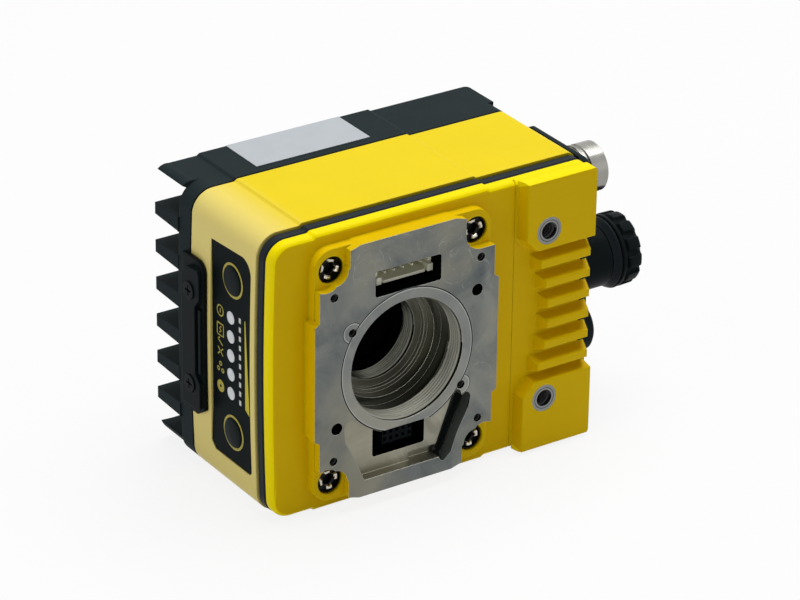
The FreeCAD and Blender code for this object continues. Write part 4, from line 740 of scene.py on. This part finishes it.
def disc_loop(u, v, radius, sides=32, start=0.0):
    return [
        (u + radius * math.cos(start + 2 * math.pi * step / sides),
         v + radius * math.sin(start + 2 * math.pi * step / sides))
        for step in range(sides)
    ]


# Threads of the two bores

def bore_threads():
    ridge = helix_ridge("outer", about_y(0, 0), 0.12 * MM, BORE_LENGTH - 0.12 * MM, BORE_RADIUS, -0.50 * MM, 1.0 * MM)
    add_piece("lens_thread_turns", ridge, THREAD, "camera")
    # Inner thread in a darker copy of the turned aluminium, painted shade.
    inner = helix_ridge("inner", about_y(0, 0), INNER_START + 0.2 * MM, INNER_LENGTH - 0.2 * MM, INNER_RADIUS,
                        -0.50 * MM, 25.4 / 32 * MM)
    add_piece("inner_thread_turns", inner, INNER_THREAD_SHADED, "camera")


bore_threads()


def small_threads():
    """Turns in the tapped holes, the ears and the two bushes."""
    radius = MOUNTS["face_taps"]["dims"]["hole_r_mm"] * MM
    turns = [helix_ridge("tap", about_y(x, z), 0.3 * MM, 5 * MM, radius, -0.22 * MM, 0.5 * MM, 20)
             for x, z in tap_spots() + EAR_SPOTS]
    # Thread turns in the dark channel coat, painted shade inside the holes.
    add_piece("tapped_hole_turns", joined("tapped_hole_turns", turns), GUTTER_SHADE, "camera")
    bush = MOUNTS["mounting_threads"]
    x, front, _ = bush["pos_m"]
    level = bush["dims"]["spacing_y_mm"] / 2 * MM
    turns = [helix_ridge("bush", about_y(x, side * level), front + 0.3 * MM, 6.2 * MM, bush["dims"]["hole_r_mm"] * MM,
                         -0.45 * MM, 1.0 * MM, 40) for side in (1, -1)]
    # Bush thread turns in the dark channel coat, painted shade.
    add_piece("bush_turns", joined("bush_turns", turns), GUTTER_SHADE, "camera")
    bore = bush["dims"]["hole_r_mm"] * MM
    collars = [lathe("collar", about_y(x, side * level), [
        (front - 0.01 * MM, bore + 0.75 * MM), (front - 0.05 * MM, bore + 0.55 * MM),
        (front + 0.55 * MM, bore - 0.05 * MM), (front + 0.60 * MM, bore + 0.1 * MM)], 48) for side in (1, -1)]
    # Bush chamfers in painted shade.
    add_piece("bush_chamfers", joined("bush_chamfers", collars), RECESS_SHADE, "camera")


small_threads()


# Captive screws: a dark head with four bright pads round a deep cross

SCREW_HEAD_RADIUS = 3.65 * MM
PAD_INNER = 0.46
PAD_OUTER = 0.90
PAD_HALF_ANGLE = math.radians(29)
PAD_RISE = 1.1 * MM


def screw_pad(place, front, radius, middle):
    """One domed pad between two arms of the cross, as a closed skin."""
    across, around = 6, 8
    points = []
    for row in range(across + 1):
        u = 2 * row / across - 1
        for column in range(around + 1):
            v = 2 * column / around - 1
            share = (PAD_INNER + PAD_OUTER) / 2 + (PAD_OUTER - PAD_INNER) / 2 * u
            sink = PAD_RISE * max(abs(u) ** 3, abs(v) ** 5)
            points.append(place(front + 0.06 * MM + sink, radius * share, middle + PAD_HALF_ANGLE * v))
    width = around + 1
    faces = [(row * width + column, row * width + column + 1, (row + 1) * width + column + 1, (row + 1) * width + column)
             for row in range(across) for column in range(around)]
    edge = [column for column in range(width)]
    edge += [row * width + around for row in range(1, across + 1)]
    edge += [across * width + column for column in range(around - 1, -1, -1)]
    edge += [row * width for row in range(across - 1, 0, -1)]
    faces.append(tuple(edge))
    return mesh_of("pad", points, faces)


def captive_screws():
    low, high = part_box("captive_screws")
    radius = SCREW_HEAD_RADIUS
    spots = [(x, z) for x in (low.x + radius, high.x - radius) for z in (low.z + radius, high.z - radius)]
    front = low.y
    bodies = []
    pads = []
    for number, (x, z) in enumerate(spots):
        spin = math.radians(SCREW_TURNS[number])
        bodies.append(lathe("body", about_y(x, z), [
            (high.y, 0), (high.y, 1.4 * MM), (high.y - 0.6 * MM, 2 * MM), (front + 3.2 * MM, 2 * MM),
            (front + 3.2 * MM, radius), (front + 0.35 * MM, radius), (front + 0.08 * MM, 0.96 * radius),
            (front + 0.08 * MM, 0.92 * radius), (front + 1.1 * MM, 0.90 * radius), (front + 1.2 * MM, 0.44 * radius),
            (front + 2.6 * MM, 0.36 * radius), (front + 2.7 * MM, 0)], 48))
        pads += [screw_pad(about_y(x, z), front, radius, spin + math.pi / 2 * quarter) for quarter in range(4)]
    add_piece("captive_screw_bodies", joined("bodies", bodies), SCREW_DARK, "camera",
              replaces=["captive_screws"])
    add_piece("captive_screw_pads", joined("pads", pads), CHROME, "camera")


SCREW_TURNS = (8, -14, 5, 12)
captive_screws()


def ring_mesh(name, place, rings, segments):
    """Skin through rings, each (along, function of the angle giving a radius)."""
    points = []
    faces = []
    for along, reach in rings:
        for step in range(segments):
            angle = 2 * math.pi * step / segments
            points.append(place(along, reach(angle), angle))
    for index in range(len(rings) - 1):
        for step in range(segments):
            after = (step + 1) % segments
            base, other = index * segments, (index + 1) * segments
            faces.append((base + step, base + after, other + after, other + step))
    return mesh_of(name, points, faces)


# Cable channel beside the lower window: a rounded trough, its right wall in painted light, its left wall in painted
# shade, with a painted highlight line between them

CHANNEL_ROUTE = ((18.9, -17.2), (18.1, -20.0), (15.2, -26.6), (13.5, -31.0), (12.7, -32.6))
CHANNEL_HALF_WIDTH = 1.9
CHANNEL_FLOOR = 5.9
CHANNEL_RIM_LEFT = 3.2
CHANNEL_RIM_RIGHT = 0.35
CHANNEL_STEPS = 24
# Lit right wall, painted highlight strip and shaded left wall of the trough.
CHANNEL_SKINS = (
    ("channel_lit_right_wall", GUTTER_LIT, 0, 4),
    ("channel_highlight_strip", CREST_HIGHLIGHT, 4, 5),
    ("channel_shaded_left_wall", GUTTER_SHADE, 5, CHANNEL_STEPS),
)


def trough():
    rows = []
    count = len(CHANNEL_ROUTE)
    for index, (x, z) in enumerate(CHANNEL_ROUTE):
        before = CHANNEL_ROUTE[max(index - 1, 0)]
        after = CHANNEL_ROUTE[min(index + 1, count - 1)]
        run = math.hypot(after[0] - before[0], after[1] - before[1])
        along = ((after[0] - before[0]) / run, (after[1] - before[1]) / run)
        shifts = [(0, 1)]
        if index == 0:
            shifts = [(-math.sin(math.radians(turn)), math.cos(math.radians(turn))) for turn in range(85, -1, -17)]
        if index == count - 1:
            shifts = [(math.sin(math.radians(turn)), math.cos(math.radians(turn))) for turn in range(0, 86, 17)]
        rows += [(x, z, along, shift, width) for shift, width in shifts]
    for name, material, first, last in CHANNEL_SKINS:
        add_piece(name, trough_skin(name, rows, first, last), material, "camera")


def trough_skin(name, rows, first, last):
    """The part of the trough between two of its lengthwise lines, counted from the right-hand rim."""
    points = []
    for x, z, along, shift, width in rows:
        for step in range(first, last + 1):
            side = width * math.cos(math.pi * step / CHANNEL_STEPS)
            off = min(1.0, math.hypot(side, shift))
            lean = min(1.0, max(0.0, side / 0.6 + 0.5))
            rim = CHANNEL_RIM_LEFT + (CHANNEL_RIM_RIGHT - CHANNEL_RIM_LEFT) * lean * lean * (3 - 2 * lean)
            depth = CHANNEL_FLOOR - (CHANNEL_FLOOR - rim) * (1 - math.sqrt(max(0.0, 1 - off * off)))
            reach = CHANNEL_HALF_WIDTH * side
            ahead = CHANNEL_HALF_WIDTH * shift
            points.append(((x + along[0] * ahead - along[1] * reach) * MM, depth * MM,
                           (z + along[1] * ahead + along[0] * reach) * MM))
    width = last - first + 1
    faces = [(row * width + step, row * width + step + 1, (row + 1) * width + step + 1, (row + 1) * width + step)
             for row in range(len(rows) - 1) for step in range(width - 1)]
    return mesh_of(name, points, faces)


trough()


# Header in the upper window: shroud with end posts, stepped top and round pins

def block(low, high, radius=0.15):
    """Box in millimetres with rounded edges."""
    work = bmesh.new()
    bmesh.ops.create_cube(work, size=1.0)
    for vertex in work.verts:
        vertex.co = Vector([(low[i] + high[i]) / 2 + vertex.co[i] * (high[i] - low[i]) for i in range(3)]) * MM
    bmesh.ops.bevel(work, geom=work.edges, offset=radius * MM, segments=2, affect="EDGES", profile=0.6)
    mesh = bpy.data.meshes.new("block")
    work.to_mesh(mesh)
    work.free()
    return mesh


PIN_COUNT = 5
PIN_PITCH = 2.9
PIN_MIDDLE = 1.2
PIN_RADIUS = 0.40


def drive_header():
    low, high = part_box("lens_drive_header")
    left, right = low.x / MM, high.x / MM
    bottom, top = low.z / MM, high.z / MM
    front, back = low.y / MM, high.y / MM
    walls = [
        block((left, front + 0.9, bottom), (left + 0.9, back, top)),
        block((right - 0.9, front + 0.9, bottom), (right, back, top)),
        block((left, front, bottom), (left + 1.7, front + 2.4, bottom + 2.2)),
        block((right - 1.7, front, bottom), (right, front + 2.4, bottom + 2.2)),
        block((left + 2.3, front + 0.3, bottom), (right - 2.3, back, bottom + 0.9)),
        block((left, front + 1.2, bottom), (right, back, bottom + 0.7)),
        block((left, front + 0.5, top - 0.8), (left + 2.2, back, top)),
        block((right - 2.6, front + 0.5, top - 0.8), (right, back, top)),
        block((left, front + 2.4, top - 0.6), (right, back, top)),
    ]
    add_piece("drive_header_shroud", joined("shroud", walls), HEADER, "camera",
              replaces=["lens_drive_header"])
    # Header floor in painted shade.
    floor = block((left + 0.5, back - 1.7, bottom + 0.4), (right - 0.5, back, top - 0.2))
    add_piece("drive_header_floor", floor, HEADER_SHADE, "camera")
    level = (bottom + top) / 2
    pins = []
    for index in range(PIN_COUNT):
        x = PIN_MIDDLE + PIN_PITCH * (index - (PIN_COUNT - 1) / 2)
        tip, root = (front + 1.0) * MM, (back - 1.6) * MM
        pins.append(lathe("pin", about_y(x * MM, level * MM), [
            (tip, 0), (tip, 0.26 * MM), (tip + 0.25 * MM, PIN_RADIUS * MM), (root, PIN_RADIUS * MM), (root, 0)], 16))
    add_piece("drive_header_pins", joined("pins", pins), PIN_TIN, "camera", replaces=["lens_drive_pins"])


drive_header()


# Domed keys and status lights

def dome(y, z, face, rise, radius, skirt):
    """Shallow dome that bulges out of the panel, with a skirt going in."""
    profile = [(face - rise * math.cos(math.pi / 2 * step / 8), radius * math.sin(math.pi / 2 * step / 8))
               for step in range(9)]
    profile += [(face + skirt, radius), (face + skirt, 0)]
    return lathe("dome", about_x(y, z), profile, 48)


# Prints on the control panel

OVERLAY_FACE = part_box("control_overlay")[0].x
PRINT_HEIGHT = 0.03 * MM
KEY_DEPTH = 24.1 * MM
KEY_HEIGHTS = [(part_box(key)[0].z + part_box(key)[1].z) / 2 for key in ("trigger_button", "tune_button")]
LIGHTS_LOW, LIGHTS_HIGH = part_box("status_lights")
LIGHT_COUNT = 5
LIGHT_RADIUS = (LIGHTS_HIGH.y - LIGHTS_LOW.y) / 2
LIGHT_HEIGHTS = [
    LIGHTS_HIGH.z - LIGHT_RADIUS - (LIGHTS_HIGH.z - LIGHTS_LOW.z - 2 * LIGHT_RADIUS) * index / (LIGHT_COUNT - 1)
    for index in range(LIGHT_COUNT)
]


WEDGE = ((18.2, 14.4), (17.8, 14.4), (15.9, -13.4), (18.0, -12.2))
DASH_TOP = 14.2
DASH_PITCH = 2.75
DASH_LENGTH = 1.5
DASH_FRONT = 20.1
DASH_BACK = 21.1


def on_overlay(y, z, height):
    return (OVERLAY_FACE + 0.005 * MM - height, y, z)


def ring_print(y, z, inner, outer, sides=72):
    """Flat ring as one closed skin."""
    points = []
    faces = []
    for step in range(sides):
        angle = 2 * math.pi * step / sides
        for radius, height in ((inner, 0), (outer, 0), (outer, PRINT_HEIGHT), (inner, PRINT_HEIGHT)):
            points.append(on_overlay(y + radius * math.cos(angle), z + radius * math.sin(angle), height))
    for step in range(sides):
        base, after = step * 4, (step + 1) % sides * 4
        for index in range(4):
            other = (index + 1) % 4
            faces.append((base + index, base + other, after + other, after + index))
    return mesh_of("ring_print", points, faces)


def bar_loop(y0, z0, y1, z1, width):
    """Straight stroke between two points, in millimetres."""
    length = math.hypot(y1 - y0, z1 - z0)
    across, up = -(z1 - z0) / length * width / 2, (y1 - y0) / length * width / 2
    return [(y * MM, z * MM) for y, z in ((y0 + across, z0 + up), (y1 + across, z1 + up),
                                          (y1 - across, z1 - up), (y0 - across, z0 - up))]


def overlay_prints():
    yellow = [ring_print(KEY_DEPTH, height, 4.35 * MM, 5.1 * MM) for height in KEY_HEIGHTS]
    column = 30.6
    heights = [height / MM for height in LIGHT_HEIGHTS]
    strokes = []
    yellow.append(ring_print(column * MM, heights[0] * MM, 1.35 * MM, 1.75 * MM, 36))
    strokes.append(bar_loop(column, heights[0] - 0.7, column, heights[0] + 0.7, 0.4))
    square = 1.6
    for a, b in (((-1, -1), (1, -1)), ((1, -1), (1, 1)), ((1, 1), (-1, 1)), ((-1, 1), (-1, -1))):
        strokes.append(bar_loop(column + a[0] * square, heights[1] + a[1] * square * 1.1,
                                column + b[0] * square, heights[1] + b[1] * square * 1.1, 0.38))
    zigzag = [(0.5, -1.0), (-0.5, -0.3), (0.5, 0.3), (-0.5, 1.0)]
    for start, end in zip(zigzag, zigzag[1:]):
        strokes.append(bar_loop(column + start[0], heights[1] + start[1], column + end[0], heights[1] + end[1], 0.34))
    tick = [(0.3, 3.3), (1.2, 2.6), (-1.2, 1.2)]
    for start, end in zip(tick, tick[1:]):
        strokes.append(bar_loop(column + start[0], heights[2] + start[1], column + end[0], heights[2] + end[1], 0.42))
    for slope in (1, -1):
        strokes.append(bar_loop(column - 1.3, heights[2] - slope * 1.1 - 0.9, column + 1.3,
                                heights[2] + slope * 1.1 - 0.9, 0.42))
    for y, z in ((0.0, 1.1), (1.1, -0.7), (-1.1, -0.7)):
        yellow.append(ring_print((column + y) * MM, (heights[3] + z) * MM, 0.32 * MM, 0.72 * MM, 24))
    yellow.append(ring_print(column * MM, heights[4] * MM, 0.45 * MM, 1.8 * MM, 36))
    wedge = [[(y * MM, z * MM) for y, z in WEDGE]]
    yellow.append(plate("strokes", strokes, on_overlay, PRINT_HEIGHT))
    add_piece("yellow_prints", joined("yellow_prints", yellow), PRINT_FAINT, "camera", smooth=False)
    add_piece("yellow_wedge", plate("yellow_wedge", wedge, on_overlay, PRINT_HEIGHT), PRINT, "camera",
              smooth=False)
    dashes = []
    for index in range(10):
        top, low = (DASH_TOP - DASH_PITCH * index) * MM, (DASH_TOP - DASH_PITCH * index - DASH_LENGTH) * MM
        dashes.append([(y * MM, z) for y, z in ((DASH_FRONT, top), (DASH_BACK, top), (DASH_BACK, low),
                                                (DASH_FRONT, low))])
    add_piece("white_prints", plate("white_prints", dashes, on_overlay, PRINT_HEIGHT), PRINT_WHITE, "camera",
              smooth=False)


overlay_prints()


def domes():
    """Milky domes over the lights, and keys that bulge a little."""
    lights = [dome(KEY_DEPTH + LIGHT_SHIFT, height, LIGHTS_LOW.x + 0.05 * MM, 0.30 * MM, LIGHT_RADIUS, 0.3 * MM)
              for height in LIGHT_HEIGHTS]
    add_piece("status_light_domes", joined("domes", lights), LENS_WHITE, "camera")
    for key, height in zip(("trigger", "tune"), KEY_HEIGHTS):
        low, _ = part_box(key + "_button")
        cap = dome(KEY_DEPTH, height, low.x + 0.02 * MM, 0.45 * MM, KEY_DOME_RADIUS, 0.2 * MM)
        add_piece(key + "_key_dome", cap, KEY_FILM, key + "_key")


KEY_DOME_RADIUS = 4.2 * MM
LIGHT_SHIFT = (LIGHTS_LOW.y + LIGHTS_HIGH.y) / 2 - KEY_DEPTH
domes()


# Screw cap with broad grips between narrow flutes

def fluted_cap():
    low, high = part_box("protective_cap")
    y, z = (low.y + high.y) / 2, (low.z + high.z) / 2
    outer = (high.z - low.z) / 2 - 0.02 * MM
    plug = PLUG_RADIUS
    start, end = low.x, high.x
    head = end - HEAD_LENGTH

    def even(radius):
        return lambda angle: radius

    def fluted(radius, depth):
        def reach(angle):
            off = abs((angle * FLUTES / (2 * math.pi)) % 1.0 - 0.5) / FLUTE_SHARE
            return radius - depth * math.sqrt(max(0.0, 1 - off * off))
        return reach

    rings = [
        (start, even(0.0)), (start, even(plug - 0.5 * MM)), (start + 0.5 * MM, even(plug)),
        (head - 1.6 * MM, even(plug)), (head - 1.6 * MM, even(plug + 0.6 * MM)), (head, even(plug + 0.6 * MM)),
        (head, even(outer - 0.5 * MM)), (head + 0.4 * MM, even(outer - 0.05 * MM)),
        (head + 1.2 * MM, even(outer - 0.15 * MM)), (head + 1.9 * MM, even(outer - 1.0 * MM)),
        (head + 2.2 * MM, fluted(outer - 0.5 * MM, 0.3 * MM)), (head + 2.6 * MM, fluted(outer - 0.1 * MM, 1.0 * MM)),
        (end - 1.2 * MM, fluted(outer - 0.2 * MM, 1.1 * MM)), (end - 0.5 * MM, fluted(outer - 0.5 * MM, 1.0 * MM)),
        (end, fluted(outer - 1.3 * MM, 0.5 * MM)), (end, even(outer - 2.6 * MM)),
        (end - 0.8 * MM, even(outer - 3.0 * MM)), (end - 0.8 * MM, even(0.0)),
    ]
    cap = ring_mesh("cap", about_x(y, z), rings, FLUTES * 24)
    add_piece("fluted_cap", cap, MOULDED, "cap", replaces=["protective_cap"])


PLUG_RADIUS = 6.3 * MM
HEAD_LENGTH = 7.0 * MM
FLUTES = 12
FLUTE_SHARE = 0.20
fluted_cap()


# Knurled ring at the root of the bare connector

def knurled_ring():
    low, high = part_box("io_connector_shell")
    y, z = (low.y + high.y) / 2, (low.z + high.z) / 2
    outer = (high.z - low.z) / 2
    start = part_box("connector_panel")[1].x
    teeth = 30

    def toothed(share):
        def reach(angle):
            wave = abs((angle * teeth / (2 * math.pi)) % 1.0 - 0.5) * 2
            return outer - 0.02 * MM - 0.45 * MM * min(1.0, wave * 1.8) * share
        return reach

    def even(radius):
        return lambda angle: radius

    rings = [(start + 0.05 * MM, even(outer - 0.9 * MM)), (start + 0.05 * MM, toothed(1)),
             (start + 1.9 * MM, toothed(1)), (start + 2.1 * MM, even(outer - 0.7 * MM)),
             (start + 2.1 * MM, even(outer - 0.9 * MM))]
    ring = ring_mesh("knurl", about_x(y, z), rings + rings[:1], teeth * 8)
    add_piece("io_knurled_ring", ring, NICKEL, "camera")


knurled_ring()


# Lights, floor and camera

def area_light(name, place, target, size, power, colour=(1, 1, 1)):
    lamp = bpy.data.lights.new(name, "AREA")
    lamp.shape = "RECTANGLE"
    lamp.size, lamp.size_y = size
    lamp.energy = power
    lamp.color = colour
    holder = bpy.data.objects.new(name, lamp)
    bpy.context.scene.collection.objects.link(holder)
    holder.location = place
    holder.rotation_euler = (Vector(target) - Vector(place)).to_track_quat("-Z", "Y").to_euler()
    return holder


def seen_directly(tree):
    """One where the background is seen by the camera or in a reflection."""
    path = tree.nodes.new("ShaderNodeLightPath")
    seen = path.outputs["Is Camera Ray"]
    for other in ("Is Glossy Ray", "Is Transmission Ray"):
        step = tree.nodes.new("ShaderNodeMath")
        step.operation = "MAXIMUM"
        tree.links.new(seen, step.inputs[0])
        tree.links.new(path.outputs[other], step.inputs[1])
        seen = step.outputs[0]
    return seen


def white_world(fill):
    world = bpy.data.worlds.new("studio")
    bpy.context.scene.world = world
    world.use_nodes = True
    tree = world.node_tree
    tree.nodes.clear()
    light = tree.nodes.new("ShaderNodeBackground")
    light.inputs["Color"].default_value = (1, 1, 1, 1)
    light.inputs["Strength"].default_value = fill
    white = tree.nodes.new("ShaderNodeBackground")
    white.inputs["Color"].default_value = (1, 1, 1, 1)
    white.inputs["Strength"].default_value = 1.0
    mixer = tree.nodes.new("ShaderNodeMixShader")
    tree.links.new(seen_directly(tree), mixer.inputs[0])
    tree.links.new(light.outputs[0], mixer.inputs[1])
    tree.links.new(white.outputs[0], mixer.inputs[2])
    out = tree.nodes.new("ShaderNodeOutputWorld")
    tree.links.new(mixer.outputs[0], out.inputs["Surface"])


def pale_floor(height, reach):
    """White floor that keeps a soft shadow under the object."""
    mesh = mesh_of("floor", [(-reach, -reach, height), (reach, -reach, height), (reach, reach, height),
                             (-reach, reach, height)], [(0, 1, 2, 3)])
    floor = bpy.data.objects.new("floor", mesh)
    bpy.context.scene.collection.objects.link(floor)
    material = bpy.data.materials.new("pale_floor")
    material.use_nodes = True
    tree = material.node_tree
    surface = tree.nodes["Principled BSDF"]
    surface.inputs["Base Color"].default_value = (0.80, 0.80, 0.80, 1)
    surface.inputs["Roughness"].default_value = 0.9
    glow = tree.nodes.new("ShaderNodeEmission")
    glow.inputs["Strength"].default_value = 1.0
    share = tree.nodes.new("ShaderNodeMath")
    share.operation = "MULTIPLY"
    share.inputs[1].default_value = FLOOR_GLOW
    tree.links.new(seen_directly(tree), share.inputs[0])
    mixer = tree.nodes.new("ShaderNodeMixShader")
    tree.links.new(share.outputs[0], mixer.inputs[0])
    tree.links.new(surface.outputs[0], mixer.inputs[1])
    tree.links.new(glow.outputs[0], mixer.inputs[2])
    tree.links.new(mixer.outputs[0], tree.nodes["Material Output"].inputs["Surface"])
    mesh.materials.append(material)


def photo_camera():
    """Camera that looks as the photograph does: axes r, u and -forward, moved so the origin lands on its pixel."""
    azimuth, elevation, roll = (math.radians(a) for a in (VIEW_AZIMUTH, VIEW_ELEVATION, VIEW_ROLL))
    forward = Vector((math.sin(azimuth) * math.cos(elevation), math.cos(azimuth) * math.cos(elevation),
                      -math.sin(elevation)))
    level = Vector((math.cos(azimuth), -math.sin(azimuth), 0))
    upward = level.cross(forward)
    right = level * math.cos(roll) + upward * math.sin(roll)
    up = -level * math.sin(roll) + upward * math.cos(roll)
    aside = (ORIGIN_PIXEL[0] - PHOTO_WIDTH / 2) / FOCAL_PIXELS * CAMERA_DISTANCE
    above = -(ORIGIN_PIXEL[1] - PHOTO_HEIGHT / 2) / FOCAL_PIXELS * CAMERA_DISTANCE
    data = bpy.data.cameras.new("photo_camera")
    data.sensor_width = SENSOR_WIDTH_MM
    data.lens = FOCAL_PIXELS / PHOTO_WIDTH * SENSOR_WIDTH_MM
    data.clip_start = 0.05
    data.clip_end = 20
    camera = bpy.data.objects.new("photo_camera", data)
    bpy.context.scene.collection.objects.link(camera)
    turn = Matrix((right, up, -forward)).transposed().to_4x4()
    camera.matrix_world = Matrix.Translation(-CAMERA_DISTANCE * forward - aside * right - above * up) @ turn
    bpy.context.scene.camera = camera


FLOOR_GLOW = 0.86
CENTRE = (0.015, 0.03, 0.0)
white_world(0.15)
area_light("top_softbox", (0.30, 0.12, 1.25), CENTRE, (1.1, 1.1), 18.5)
area_light("left_softbox", (-0.9, -0.05, 0.35), CENTRE, (0.8, 0.8), 2.3)
area_light("front_softbox", (0.35, -0.9, 0.25), CENTRE, (0.9, 0.7), 0.50)
pale_floor(cad_box[0].z, 12.0)
photo_camera()
bpy.context.scene.view_settings.view_transform = "Standard"
